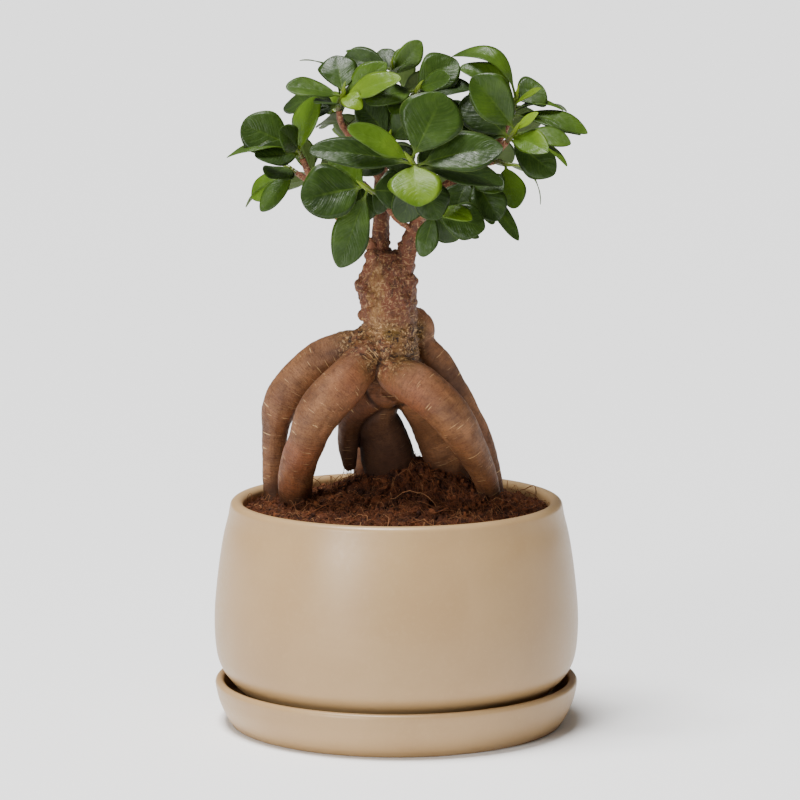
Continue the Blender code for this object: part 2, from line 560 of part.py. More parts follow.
def unite(made, others):
    """Join closed meshes to an object with one Boolean union, and remove them."""
    helpers = make_collection(made.name + "_repeats", hidden=True)
    for mesh in others:
        hide_helper(add_object(mesh.name, mesh, helpers))
    union = made.modifiers.new("Union", "BOOLEAN")
    union.operation = "UNION"
    union.operand_type = "COLLECTION"
    union.collection = helpers
    union.solver = "MANIFOLD"
    baked(made)
    for helper in list(helpers.objects):
        bpy.data.objects.remove(helper)
    bpy.data.collections.remove(helpers)
    return made


def build_trunk(collection, material):
    """The trunk and roots grown into one smooth body, then the branches and twigs joined to it."""
    tubes = [tube_mesh("trunk_core", TRUNK, 20, 2)]
    tubes += [tube_mesh("root_" + name, line, ROOT_SIDES, 2) for name, line in ROOTS.items()]
    tubes += [lump_mesh("burl", lump) for lump in BURLS]
    trunk = add_object("trunk", join_meshes("trunk", tubes), collection, material)
    grow = trunk.modifiers.new("Grow together", "REMESH")
    grow.mode = "VOXEL"
    grow.voxel_size = VOXEL * MM
    soften = trunk.modifiers.new("Soften", "SMOOTH")
    soften.factor = 0.5
    soften.iterations = 3
    baked(trunk)
    roughen_bark(trunk)
    thin = trunk.modifiers.new("Fewer faces", "DECIMATE")
    thin.ratio = TRUNK_TRIANGLES / (2 * len(trunk.data.polygons))
    thin.use_collapse_triangulate = True
    baked(trunk)
    wood = [tube_mesh("branch_" + name, line, 8, 1) for name, line in BRANCHES.items()]
    for name, shoot in {**SHOOTS, **RULED_SHOOTS}.items():
        wood.append(tube_mesh("twig_" + name, shoot["twig"], 6, 1))
    return unite(trunk, wood)


def blade_share(along):
    """Half width of a blade as a share of its widest, from its base (0) to its blunt tip (1)."""
    past_stalk = (along - BLADE_START) / (1 - BLADE_START)
    return math.sin(math.pi * past_stalk**1.25) ** (0.80 - 0.27 * past_stalk)


def leaf_sections(node, shape):
    """Sections of a leaf along its bowed line: four corners at its root, then six, and two at its tip."""
    reach = Vector(shape["reach"])
    along = reach.normalized()
    face = Vector(shape["face"])
    up = (face - face.dot(along) * along).normalized()
    side = along.cross(up)
    rise = 4 * shape["arch"] * reach.length
    root = (0.0, PETIOLE_WIDTH / 2, PETIOLE_WIDTH, (-1, 1), 0.0)
    blade = [(place, shape["width"] / 2 * blade_share(place), LEAF_THICKNESS, (-1, 0, 1), shape["fold"])
             for place in BLADE_STATIONS]
    tip = (1.0, 0.0, LEAF_THICKNESS, (0,), 0.0)
    sections = []
    for place, half, thick, corners, fold in [root, *blade, tip]:
        centre = node + reach * place + up * (rise * place * (1 - place))
        tangent = (reach + up * (rise * (1 - 2 * place))).normalized()
        normal = (up - up.dot(tangent) * tangent).normalized()
        upper = [centre + side * (c * half) + normal * (abs(c) * fold * half + thick / 2) for c in corners]
        lower = [point - normal * thick for point in reversed(upper)]
        sections.append(upper + lower)
    return sections


def leaf_mesh(name, node, shape):
    """A leaf and its petiole. Its upper and lower skins are split along matching diagonals."""
    sections = leaf_sections(node, shape)
    points = [point for section in sections for point in section]
    faces = [(0, 4, 5), (0, 5, 1), (1, 5, 6), (3, 9, 8), (3, 8, 2), (2, 8, 7), (1, 6, 7), (1, 7, 2),
             (0, 4, 9), (0, 9, 3), (0, 1, 2), (0, 2, 3)]
    pairs = ((0, 1, 1), (1, 2, 0), (2, 3, 0), (3, 4, 0), (4, 5, 1), (5, 0, 0))
    for ring in range(len(BLADE_STATIONS) - 1):
        low = 4 + 6 * ring
        for a, b, crossed in pairs:
            near_a, near_b, far_a, far_b = low + a, low + b, low + a + 6, low + b + 6
            if crossed:
                faces += [(near_a, near_b, far_b), (near_a, far_b, far_a)]
            else:
                faces += [(near_a, near_b, far_a), (near_b, far_b, far_a)]
    low = 4 + 6 * (len(BLADE_STATIONS) - 1)
    top = low + 6
    faces += [(low, low + 1, top), (low + 1, low + 2, top), (low + 3, low + 4, top + 1),
              (low + 4, low + 5, top + 1), (low + 2, low + 3, top + 1), (low + 2, top + 1, top),
              (low + 5, low, top), (low + 5, top, top + 1)]
    return mesh_of(name, points, faces)


def spiral_leaves(foot, apex, count, longest, turn, chance):
    """Leaves of a shoot by rule: the golden angle round the stem, smaller and steeper to the apex."""
    growth = ((apex - foot).normalized() + Vector((0, 0, 0.25))).normalized()
    across = growth.cross(Vector((0, 0, 1))).normalized()
    over = across.cross(growth)
    found = []
    for i in range(count):
        age = i / (count - 1)
        angle = math.radians(turn) + i * GOLDEN_ANGLE
        lean = math.radians(34 + 52 * age + chance.uniform(-6, 6))
        length = longest * (0.62 + 0.38 * age) * chance.uniform(0.92, 1.06)
        way = math.cos(lean) * growth + math.sin(lean) * (math.cos(angle) * over + math.sin(angle) * across)
        way.z -= 0.12 + 0.16 * age
        reach = way.normalized() * length
        width = length * chance.uniform(0.52, 0.62)
        found.append(leaf(1.0 - 0.55 * age, tuple(reach), width, tuple(growth), 0.05 + 0.04 * age))
    return found


def build_shoot(name, shoot, leaves, collection, material):
    """A green stem with its bud, and its leaves sunk into it."""
    foot = Vector(shoot["twig"][-1][:3])
    before = Vector(shoot["twig"][-2][:3])
    apex = Vector(shoot["apex"])
    start_way = (foot - before).normalized()
    end_way = (apex - foot).normalized()
    start = foot + start_way * GAP
    bud = apex + end_way * BUD_LENGTH
    line = [(*start, STEM_RADIUS), (*(start + start_way * 2.0), STEM_RADIUS), (*apex, STEM_RADIUS),
            (*bud, STEM_RADIUS * 0.3)]
    made = add_object("shoot_" + name, tube_mesh("shoot_" + name, line, 6, 1), collection, material)
    blades = []
    stem = apex - start
    height = stem.length + LEAF_SPACING
    for number, shape in enumerate(sorted(leaves, key=lambda one: -one["at"])):
        tip = start + stem * shape["at"] + Vector(shape["reach"])
        height = min(shape["at"] * stem.length, height - LEAF_SPACING)
        node = start + end_way * max(height, 1.9)
        blades.append(leaf_mesh(f"{name}_leaf_{number}", node, {**shape, "reach": tip - node}))
    return unite(made, blades)


def main():
    clear_scene()
    plant = make_collection("ginseng_ficus")
    stoneware = make_material("stoneware", (0.54, 0.43, 0.32), 0.45)
    coir = make_material("coir_soil", (0.15, 0.055, 0.025), 0.95)
    bark = make_material("bark", (0.24, 0.13, 0.075), 0.8)
    foliage = make_material("foliage", (0.07, 0.16, 0.02), 0.3)
    build_saucer(plant, stoneware)
    build_pot(plant, stoneware)
    cutters = []
    build_soil(plant, cutters, coir)
    for cutter in cutters:
        bpy.data.objects.remove(cutter)
    build_trunk(plant, bark)
    for name, shoot in SHOOTS.items():
        build_shoot(name, shoot, shoot["leaves"], plant, foliage)
    chance = random.Random(SEED)
    for name, shoot in RULED_SHOOTS.items():
        foot = Vector(shoot["twig"][-1][:3])
        apex = Vector(shoot["apex"])
        leaves = spiral_leaves(foot, apex, shoot["count"], shoot["length"], shoot["turn"], chance)
        build_shoot(name, shoot, leaves, plant, foliage)


main()
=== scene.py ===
import math
import random

import bpy
import numpy as np
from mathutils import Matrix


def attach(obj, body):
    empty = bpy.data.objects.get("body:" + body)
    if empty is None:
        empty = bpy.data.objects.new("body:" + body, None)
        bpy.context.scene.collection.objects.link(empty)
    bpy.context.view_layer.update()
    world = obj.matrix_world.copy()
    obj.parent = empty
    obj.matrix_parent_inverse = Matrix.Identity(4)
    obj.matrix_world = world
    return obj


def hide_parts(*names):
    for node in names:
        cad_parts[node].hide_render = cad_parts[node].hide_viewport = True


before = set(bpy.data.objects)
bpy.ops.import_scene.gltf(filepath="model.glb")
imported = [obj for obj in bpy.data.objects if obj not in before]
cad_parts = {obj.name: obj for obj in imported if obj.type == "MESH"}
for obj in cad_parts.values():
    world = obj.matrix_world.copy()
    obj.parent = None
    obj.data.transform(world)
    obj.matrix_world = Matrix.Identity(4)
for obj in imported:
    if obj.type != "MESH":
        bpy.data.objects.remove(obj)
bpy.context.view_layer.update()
print("frame loaded:", len(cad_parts), "nodes")

mm = 0.001  # every size below is in millimetres


# Small tools for shapes

def unit(vectors):  # each vector over its own length
    return vectors / np.linalg.norm(vectors, axis=-1, keepdims=True)


def ease(value, low, high):  # 0 below low, 1 above high, and 3x^2 - 2x^3 between
    x = np.clip((np.asarray(value, float) - low) / (high - low), 0, 1)
    return x * x * (3 - 2 * x)


def throughPoints(points, perSpan):  # a Catmull-Rom curve: cubic weights of four neighbours
    p = np.array(points, float)
    p = np.vstack([2 * p[0] - p[1], p, 2 * p[-1] - p[-2]])
    t = (np.arange(perSpan) / perSpan)[None, :, None]
    a, b, c, d = (x[:, None, :] for x in (p[:-3], p[1:-2], p[2:-1], p[3:]))
    curve = 0.5 * (2 * b + (c - a) * t + (2 * a - 5 * b + 4 * c - d) * t**2 + (3 * b - a - 3 * c + d) * t**3)
    return np.vstack([curve.reshape(-1, p.shape[1]), p[-2]])


def sidesAlong(path):  # tangents by difference, and two sides square to them by the path's best plane
    tangent = unit(np.gradient(path, axis=0))
    flat = np.linalg.svd(path - path.mean(axis=0), full_matrices=False)[2][2]
    side = unit(np.cross(tangent, flat))
    return tangent, side, np.cross(tangent, side)


def distanceAlong(path):  # running sum of the steps between points
    return np.concatenate([[0], np.cumsum(np.linalg.norm(np.diff(path, axis=0), axis=1))])


def scatterNoise(points, size, seed):  # random numbers on a lattice, blended by eased shares of a cell
    p = points / size
    cell = np.floor(p).astype(np.int64)
    f = p - cell
    f = f * f * (3 - 2 * f)
    total = 0
    for corner in range(8):
        step = np.array([corner & 1, corner >> 1 & 1, corner >> 2])
        n = (cell + step) @ np.array([73856093, 19349663, 83492791]) + seed * 7919
        n = (n ^ (n >> 13)) * 1274126177 & 0xFFFFFFFF
        n = (n ^ (n >> 15)) * 2246822519 & 0xFFFFFFFF
        value = ((n ^ (n >> 13)) & 0xFFFF) / 32767.5 - 1
        total = total + value * np.prod(np.where(step == 1, f, 1 - f), axis=-1)
    return total


def layeredNoise(points, size, seed, layers=3):  # each layer half the size and half the strength of the last
    return sum(scatterNoise(points, size / 2**k, seed + k) / 2**k for k in range(layers))


# Small tools for meshes

def gridQuads(rows, columns):  # the cells between rows of points, where the last column meets the first
    row = np.arange(rows - 1)[:, None] * columns
    near = np.arange(columns)[None, :]
    after = (near + 1) % columns
    return np.stack([row + near, row + after, row + columns + after, row + columns + near], -1).reshape(-1, 4)


def skin(grid):  # a closed skin: the cells of the grid, and a fan to a middle point at each end
    rows, columns = grid.shape[:2]
    points = np.vstack([grid.reshape(-1, 3), grid[0].mean(axis=0), grid[-1].mean(axis=0)])
    near = np.arange(columns)
    after = (near + 1) % columns
    first = np.stack([np.full(columns, rows * columns), after, near], -1)
    top = (rows - 1) * columns
    last = np.stack([np.full(columns, rows * columns + 1), top + near, top + after], -1)
    return {"points": points, "quads": gridQuads(rows, columns), "tris": np.vstack([first, last])}


def rings(path, radii, side, other, sides):  # cosine to one side and sine to the other, round every point
    turn = np.arange(sides) * 2 * math.pi / sides
    ring = np.cos(turn)[:, None] * side[..., None, :] + np.sin(turn)[:, None] * other[..., None, :]
    return path[..., None, :] + radii[..., None, None] * ring


def hairTubes(paths, radii, square):  # four-sided tubes round many paths at once, capped at the ends
    count, steps = paths.shape[:2]
    tangent = unit(np.gradient(paths, axis=1) + 1e-6)
    side = unit(np.cross(tangent, square))
    points = rings(paths, radii, side, np.cross(tangent, side), 4)
    last = (steps - 1) * 4
    cells = np.vstack([gridQuads(steps, 4), [[0, 3, 2, 1], [last, last + 1, last + 2, last + 3]]])
    quads = cells[None] + (np.arange(count) * steps * 4)[:, None, None]
    return {"points": points.reshape(-1, 3), "quads": quads.reshape(-1, 4)}


def ends(values):  # values of a grid's points, with those of the two middle points of its ends added
    return np.concatenate([values.reshape(-1), [values[0].mean(), values[-1].mean()]])


def storeValues(mesh, key, values):  # one number for each point, which a material reads by its key
    mesh.attributes.new(key, "FLOAT", "POINT").data.foreach_set("value", values.astype(np.float32))


def storeAlong(mesh, places):  # each point's place along and across its root or twig
    mesh.attributes.new("along", "FLOAT_VECTOR", "POINT").data.foreach_set("vector", (places * mm).ravel())


def addObject(name, data):  # an object in the scene, at the origin
    made = bpy.data.objects.new(name, data)
    bpy.context.scene.collection.objects.link(made)
    return made


def buildMesh(name, parts, materials=()):  # one mesh of many parts, each with its own values and material
    mesh = bpy.data.meshes.new(name)
    counts = [len(part["points"]) for part in parts]
    starts = np.concatenate([[0], np.cumsum(counts)[:-1]])
    points = np.vstack([part["points"] for part in parts]) * mm
    quads = np.vstack([part["quads"] + start for part, start in zip(parts, starts)])
    tris = np.vstack([part.get("tris", np.zeros((0, 3), int)) + start for part, start in zip(parts, starts)])
    mesh.vertices.add(len(points))
    mesh.vertices.foreach_set("co", points.ravel())
    corners = np.concatenate([quads.ravel(), tris.ravel()]).astype(np.int32)
    mesh.loops.add(len(corners))
    mesh.loops.foreach_set("vertex_index", corners)
    begins = np.concatenate([np.arange(len(quads)) * 4, len(quads) * 4 + np.arange(len(tris)) * 3])
    mesh.polygons.add(len(begins))
    mesh.polygons.foreach_set("loop_start", begins.astype(np.int32))
    slots = [np.full(len(part.get(kind, ())), part.get("slot", 0))
             for kind in ("quads", "tris") for part in parts]
    mesh.polygons.foreach_set("material_index", np.concatenate(slots).astype(np.int32))
    mesh.polygons.foreach_set("use_smooth", np.ones(len(begins), bool))
    mesh.update(calc_edges=True)
    for key in parts[0].get("values", {}):
        storeValues(mesh, key, np.concatenate([part["values"][key] for part in parts]))
    if "along" in parts[0]:
        storeAlong(mesh, np.vstack([part["along"] for part in parts]))
    if "uv" in parts[0]:
        flat = np.vstack([part["uv"] for part in parts])[corners]
        mesh.uv_layers.new(name="bladeMap").data.foreach_set("uv", flat.astype(np.float32).ravel())
    for material in materials:
        mesh.materials.append(material)
    mesh.validate()
    return mesh


def placePiece(name, mesh, replaced=None):  # an object that rides on the plant's one body
    piece = addObject(name, mesh)
    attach(piece, "root")
    if replaced:
        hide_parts(replaced)


def placeParts(name, parts, materials, replaced=None):  # the same for a mesh made of parts
    placePiece(name, buildMesh(name, parts, materials), replaced)


def turned(profile, sides):  # a grid: every point of a profile turned about Z in equal steps
    turn = np.arange(sides) * 2 * math.pi / sides
    around = np.stack([np.cos(turn), np.sin(turn), np.zeros(sides)], -1)
    return profile[:, None, :1] * around + profile[:, None, 1:] * np.array([0, 0, 1.0])


def lathe(profile, sides, toAxis=False):  # the skin of a turned profile, which rises on the outside
    grid = turned(profile, sides)
    if toAxis:  # the ends of the profile lie on the axis
        return skin(grid)
    quads = gridQuads(len(profile) + 1, sides) % (len(profile) * sides)
    return {"points": grid.reshape(-1, 3), "quads": quads}


def bend(centre, radius, start, end, count):  # a circular arc of a profile, angles in degrees
    angle = np.radians(np.linspace(start, end, count))
    return np.stack([centre[0] + radius * np.cos(angle), centre[1] + radius * np.sin(angle)], -1)


# Small tools for materials

def newMaterial(name):  # a material, with its tree and its shader
    made = bpy.data.materials.new(name)
    made.use_nodes = True
    return made, made.node_tree, made.node_tree.nodes["Principled BSDF"]


def addNode(kind, inputs, tree=None, **settings):
    # a node of that kind, each input linked or set, in the tree that is given or else that its links are in
    linked = [key for key, value in inputs.items() if isinstance(value, bpy.types.NodeSocket)]
    tree = tree or inputs[linked[0]].id_data
    made = tree.nodes.new("ShaderNode" + kind)
    for key, value in settings.items():
        setattr(made, key, value)
    for key, value in inputs.items():
        if key in linked:
            tree.links.new(value, made.inputs[key])
        else:
            made.inputs[key].default_value = value
    return made


def read(tree, key, output="Fac"):  # what a piece's mesh stores under a key
    return addNode("Attribute", {}, tree, attribute_name=key).outputs[output]


def onPiece(tree, scale=(1, 1, 1)):  # a point's place on the piece, stretched by three scales
    place = addNode("TexCoord", {}, tree).outputs["Object"]
    return addNode("Mapping", {"Vector": place, "Scale": scale}).outputs[0]


def alongPiece(tree, scale):  # a point's place along and across its root or twig, stretched by three scales
    return addNode("Mapping", {"Vector": read(tree, "along", "Vector"), "Scale": scale}).outputs[0]


def noise(vector, scale, detail=3.0, roughness=0.55, distortion=0.0):  # layered noise from 0 to 1
    return addNode("TexNoise", {"Vector": vector, "Scale": scale, "Detail": detail,
                                "Roughness": roughness, "Distortion": distortion}).outputs["Fac"]


def span(value, low, high, toLow=0.0, toHigh=1.0):  # one range carried to another, held at its ends
    return addNode("MapRange", {"Value": value, "From Min": low, "From Max": high,
                                "To Min": toLow, "To Max": toHigh}).outputs[0]


def calculate(operation, a, b=0.0):  # a sum, difference or the like of two values
    return addNode("Math", {0: a, 1: b}, operation=operation).outputs[0]


def times(first, *others):  # the product of several values
    for other in others:
        first = calculate("MULTIPLY", first, other)
    return first


def paint(colour, coats):  # coats of colour over a first one in turn, each by its own factor
    for factor, coat in coats:
        a, b = (value if isinstance(value, bpy.types.NodeSocket) else (*value, 1) for value in (colour, coat))
        colour = addNode("Mix", {0: factor, 6: a, 7: b}, data_type="RGBA").outputs[2]
    return colour


def ramp(factor, stops):  # a colour that changes with a value between stops
    made = addNode("ValToRGB", {"Fac": factor})
    elements = made.color_ramp.elements
    while len(elements) < len(stops):
        elements.new(0.5)
    for element, (position, colour) in zip(elements, stops):
        element.position = position
        element.color = (*colour, 1)
    return made.outputs["Color"]


def emboss(*heights):  # a normal tilted by one height after another, each with a strength and a depth
    normal = None
    for height, strength, depth in heights:
        inputs = {"Height": height, "Strength": strength, "Distance": depth * mm}
        if normal is not None:
            inputs["Normal"] = normal
        normal = addNode("Bump", inputs).outputs[0]
    return normal


def connect(shader, colour, normal, roughness=None):  # a shader's links from the nodes before it
    links = {"Base Color": colour, "Normal": normal, "Roughness": roughness}
    for key, value in links.items():
        if value is not None:
            shader.id_data.links.new(value, shader.inputs[key])


# Stoneware: pot and saucer

stoneware = {"colour": (0.390, 0.250, 0.118), "shade": (0.360, 0.225, 0.102), "speck": (0.420, 0.275, 0.135),
             "roughness": (0.33, 0.42), "clouds": 22, "specks": 420, "grit": 1900, "grain": 0.05}


def stonewareMaterial():  # a thin satin glaze: broad clouds, a faint speckle, and a fine grain in the surface
    made, tree, shader = newMaterial("stonewareGlaze")
    where = onPiece(tree)
    clouds = noise(where, stoneware["clouds"], 4, 0.6, 0.4)
    fine = noise(where, stoneware["specks"], 3, 0.6)
    grit = noise(where, stoneware["grit"], 2, 0.5)
    colour = paint(stoneware["colour"], [(span(clouds, 0.35, 0.65), stoneware["shade"]),
                                         (span(fine, 0.52, 0.75, 0, 0.35), stoneware["speck"])])
    grain = (calculate("ADD", fine, grit), stoneware["grain"], 0.12)
    connect(shader, colour, emboss((clouds, 0.35, 0.6), grain),
            span(fine, 0.3, 0.7, *stoneware["roughness"]))
    shader.inputs["Specular IOR Level"].default_value = 0.45
    return made


pot = {"belly": [(63.5, 8.0), (69.0, 11.0), (75.6, 16.0), (81.8, 22.0), (86.8, 29.0), (89.3, 38.0),
                 (90.0, 54.0), (88.4, 73.0), (85.8, 91.0), (82.9, 103.5)],
       "inside": [(79.2, 96), (82.6, 80), (84.6, 60), (84.2, 40), (81.0, 28), (73.5, 18)],
       "rim": 78.5, "lip": 2.9, "top": 111.4, "foot": 4.8, "recess": 6.8, "floor": 12.8,
       "footRadius": 58.0, "footWidth": 6.0, "drain": 6.5, "sides": 256}


def potProfile():
    # from the drain hole under the floor and foot ring, up the belly, over the lip and down inside
    belly = throughPoints(pot["belly"], 7)
    floor, recess, foot, drain = pot["floor"], pot["recess"], pot["foot"], pot["drain"]
    footIn, footOut = pot["footRadius"] - pot["footWidth"] / 2, pot["footRadius"] + pot["footWidth"] / 2
    under = np.array([(drain + 0.6, recess), (30, recess), (footIn - 2.2, recess),
                      (footIn - 1.2, recess - 0.4), (footIn, foot + 0.4), (footIn + 0.5, foot),
                      (footOut - 0.5, foot), (footOut + 0.6, foot + 0.8)])
    lip = bend((pot["rim"], pot["top"] - pot["lip"]), pot["lip"], 0, 180, 15)
    lip[:, 0] += np.linspace(1.0, 0, 15) * 0.6
    neck = (pot["rim"] - pot["lip"] - 0.1, 105.5)
    inside = throughPoints([neck, *pot["inside"], (66, floor + 1.2), (60, floor)], 5)
    hole = np.array([(30, floor), (drain + 0.6, floor), (drain, floor - 0.6), (drain, recess + 0.6)])
    return np.vstack([under, belly, lip, inside, hole])


saucer = {"outside": [(84.2, 3.6), (86.6, 8.5), (88.3, 13), (89.5, 18.2)],
          "inside": [(85.0, 18.2), (83.6, 13), (81.6, 9), (78.4, 5.9), (74.0, 4.6)],
          "base": 82.6, "top": 22.4, "lip": 2.3, "radius": 89.8, "floor": 4.5, "sides": 256}


def saucerProfile():
    # from the middle of the underside out, up the flared wall, over the lip and down to the floor
    lip = bend((saucer["radius"] - saucer["lip"], saucer["top"] - saucer["lip"]), saucer["lip"], 0, 180, 13)
    outer = throughPoints([(saucer["base"], 1.2), *saucer["outside"]], 6)
    under = np.array([(0.5, 0), (40, 0), (saucer["base"] - 1.4, 0), (saucer["base"] - 0.5, 0.3)])
    inner = throughPoints([*saucer["inside"], (70, saucer["floor"])], 5)
    floor = np.array([(40, saucer["floor"]), (0.5, saucer["floor"])])
    return np.vstack([under, outer, lip, inner, floor])


stonewareGlaze = stonewareMaterial()
potSkin = lathe(potProfile(), pot["sides"])
saucerSkin = lathe(saucerProfile(), saucer["sides"], toAxis=True)
placeParts("potBody", [potSkin], [stonewareGlaze], "pot")
placeParts("saucerBody", [saucerSkin], [stonewareGlaze], "saucer")
print("pot and saucer turned")


# Soil: a mounded plug, crumbs and coir fibres

soil = {"edge": 105.5, "dome": 4.5, "radius": 76.6, "rings": 160, "sectors": 400, "seed": 11,
        "wall": [(78.0, 96), (81.6, 80), (83.6, 60), (83.2, 40), (80.0, 28), (72.4, 19), (64, 13.6),
                 (30, 13.2)],
        "heaps": [(6, 29, 18.5, 19.5), (-50, 1, 2.6, 7), (46, -1, 3.6, 8),  # x, y, rise and spread
                  (29, 19, 3.0, 8), (-22, 8, 1.6, 9)],
        "lumps": ((9.0, 1.5), (2.9, 2.1)),  # size and rise of the broad and of the fine ones
        "crumbs": 2600, "crumbReach": 0.985, "crumbDents": 0.75, "fibres": 2600, "fibreReach": 0.97,
        "fibreSteps": 9, "crumbSize": (0.4, 1.5, 4), "length": (3, 20, 3),  # least, what is added, its power
        "rise": (0.3, 5.5, 6), "thick": (0.07, 0.15, 3), "curl": 1.4, "longFibres": 20,
        "longLength": (18, 32), "longRise": (2.0, 7.0), "longThick": 0.22}


def soilHeight(x, y):
    # a shallow dome, round heaps behind the middle and at the roots, and lumps of a broad and a fine noise
    radius = np.hypot(x, y)
    height = soil["edge"] + soil["dome"] * np.clip(1 - (radius / 72) ** 2, 0, None)
    for heapX, heapY, rise, spread in soil["heaps"]:
        height = height + rise * np.exp(-0.5 * ((x - heapX) ** 2 + (y - heapY) ** 2) / spread ** 2)
    flat = np.stack([x, y, np.full_like(x, 3.0)], -1)
    (broad, low), (fine, high) = soil["lumps"]
    lumps = low * layeredNoise(flat, broad, 5, 2) + high * np.abs(layeredNoise(flat, fine, 9, 3)) - 0.7
    return height + lumps * (1 - 0.6 * ease(radius, 66, 77))


def soilPlug():  # the top as rings from the middle, then the wall down inside the pot, then the floor
    radius = np.linspace(0.4, soil["radius"], soil["rings"])
    turn = np.arange(soil["sectors"]) * 2 * math.pi / soil["sectors"]
    x = radius[:, None] * np.cos(turn)
    y = radius[:, None] * np.sin(turn)
    top = np.stack([x, y, soilHeight(x, y)], -1)
    return skin(np.concatenate([top, turned(np.array(soil["wall"]), soil["sectors"])])[::-1])


def ballPoints(cuts=2):  # a cube's faces, cut in two each way and pushed out to a ball, with its 24 cells
    steps = np.linspace(-1, 1, cuts + 1)
    found, cells = [], []
    for axis in range(3):
        for sign in (-1, 1):
            u, v = np.meshgrid(steps, steps, indexing="ij")
            face = np.stack([np.full_like(u, sign), u * sign, v], -1).reshape(-1, 3)
            base = len(found) * (cuts + 1) ** 2
            found.append(np.roll(face, axis, axis=1))
            i, j = np.meshgrid(range(cuts), range(cuts), indexing="ij")
            low = (base + i * (cuts + 1) + j).ravel()
            cells.append(np.stack([low, low + cuts + 1, low + cuts + 2, low + 1], -1))
    points = np.vstack(found)
    keys = np.round(points * cuts).astype(int)  # the same for points that meet
    first, back = np.unique(keys, axis=0, return_index=True, return_inverse=True)[1:]
    return unit(points[first]), back.reshape(-1)[np.vstack(cells)]


def scattered(chance, count, share):  # places spread evenly over a share of the soil's circle
    turn = chance.uniform(0, 2 * math.pi, count)
    out = soil["radius"] * share * np.sqrt(chance.uniform(0, 1, count))
    return out * np.cos(turn), out * np.sin(turn)


def mostlySmall(chance, count, least, added, power):  # the least, and a random share of more, to a power
    return least + added * chance.uniform(0, 1, count) ** power


def soilCrumbs(chance):
    # one rough ball squeezed, turned and dented by its own noise for each crumb, all at once
    ball, cells = ballPoints()
    count = soil["crumbs"]
    x, y = scattered(chance, count, soil["crumbReach"])
    size = mostlySmall(chance, count, *soil["crumbSize"])
    z = soilHeight(x, y) + 0.1 * size
    squeeze = chance.uniform(0.35, 1.55, (count, 1, 3)) * size[:, None, None]
    axes = np.linalg.qr(chance.normal(size=(count, 3, 3)))[0]
    dents = layeredNoise(ball[None] * 1.7 + np.arange(count)[:, None, None] * 7.3, 1.3, 3, 2)[..., None]
    shape = ball[None] * squeeze * (1 + soil["crumbDents"] * dents)
    points = np.einsum("nij,nkj->nki", axes, shape) + np.stack([x, y, z], -1)[:, None]
    quads = cells[None] + (np.arange(count) * len(ball))[:, None, None]
    mirrored = np.linalg.det(axes) < 0
    quads[mirrored] = quads[mirrored][:, :, ::-1]
    return {"points": points.reshape(-1, 3), "quads": quads.reshape(-1, 4),
            "values": {"shade": np.repeat(chance.uniform(0, 1, count), len(ball))}}


def soilFibres(chance):
    # each fibre is a walk whose heading turns by its curl and wanders, kept inside the pot and lifted by a
    # half wave of a sine
    count, steps, long = soil["fibres"], soil["fibreSteps"], slice(0, soil["longFibres"])
    x, y = scattered(chance, count, soil["fibreReach"])
    length, rise, radius = (mostlySmall(chance, count, *soil[key]) for key in ("length", "rise", "thick"))
    length[long] = chance.uniform(*soil["longLength"], soil["longFibres"])
    rise[long] = chance.uniform(*soil["longRise"], soil["longFibres"])
    radius[long] = soil["longThick"]
    heading = chance.uniform(0, 2 * math.pi, count)
    curl = chance.normal(0, soil["curl"], count)
    wander = np.cumsum(chance.normal(0, 0.25, (count, steps)), axis=1)
    t = np.linspace(0, 1, steps)[None, :]
    angle = heading[:, None] + curl[:, None] * t + wander
    step = (length / (steps - 1))[:, None]
    x = x[:, None] + np.cumsum(np.cos(angle), axis=1) * step
    y = y[:, None] + np.cumsum(np.sin(angle), axis=1) * step
    pull = np.minimum(1, soil["radius"] * soil["crumbReach"] / np.hypot(x, y))
    x, y = x * pull, y * pull
    z = soilHeight(x, y) + rise[:, None] * np.sin(math.pi * t) + 0.25
    thin = radius[:, None] * (1 - 0.75 * np.abs(2 * t - 1) ** 3)
    part = hairTubes(np.stack([x, y, z], -1), thin, np.array([0.31, 0.17, 0.93]))
    part["values"] = {"shade": np.repeat(chance.uniform(0, 1, count), steps * 4)}
    return part


coir = {"grains": 900, "patches": 120, "roughness": 420,
        "crumb": ((0.020, 0.005, 0.0014), (0.130, 0.036, 0.0105), (0.19, 0.060, 0.019)),
        "fibre": ((0.075, 0.022, 0.007), (0.20, 0.062, 0.019), (0.42, 0.20, 0.085))}


def coirMaterial(name, dark, light, pale):  # damp brown, with darker grains and some pale crumbs or fibres
    made, tree, shader = newMaterial(name)
    where = onPiece(tree)
    grain = noise(where, coir["grains"], 4, 0.65)
    patch = noise(where, coir["patches"], 3, 0.6)
    rough = noise(where, coir["roughness"], 4, 0.7, 1.2)
    colour = paint(dark, [(span(patch, 0.35, 0.7), light), (span(grain, 0.45, 0.75, 0, 0.6), dark),
                          (span(read(tree, "shade"), 0.70, 1.0, 0, 0.85), pale)])
    connect(shader, colour, emboss((rough, 0.9, 1.2), (grain, 0.8, 0.6)))
    shader.inputs["Roughness"].default_value = 0.9
    shader.inputs["Specular IOR Level"].default_value = 0.25
    return made


soilChance = np.random.default_rng(soil["seed"])
coirCrumb = coirMaterial("coirCrumb", *coir["crumb"])
coirFibre = coirMaterial("coirFibre", *coir["fibre"])
placeParts("soilPlug", [soilPlug()], [coirCrumb], "soil")
placeParts("soilCrumbs", [soilCrumbs(soilChance)], [coirCrumb])
placeParts("soilFibres", [soilFibres(soilChance)], [coirFibre])
print("soil filled in")


# Trunk and roots: tubes grown together. A point of a line is x, y, z and the radius there

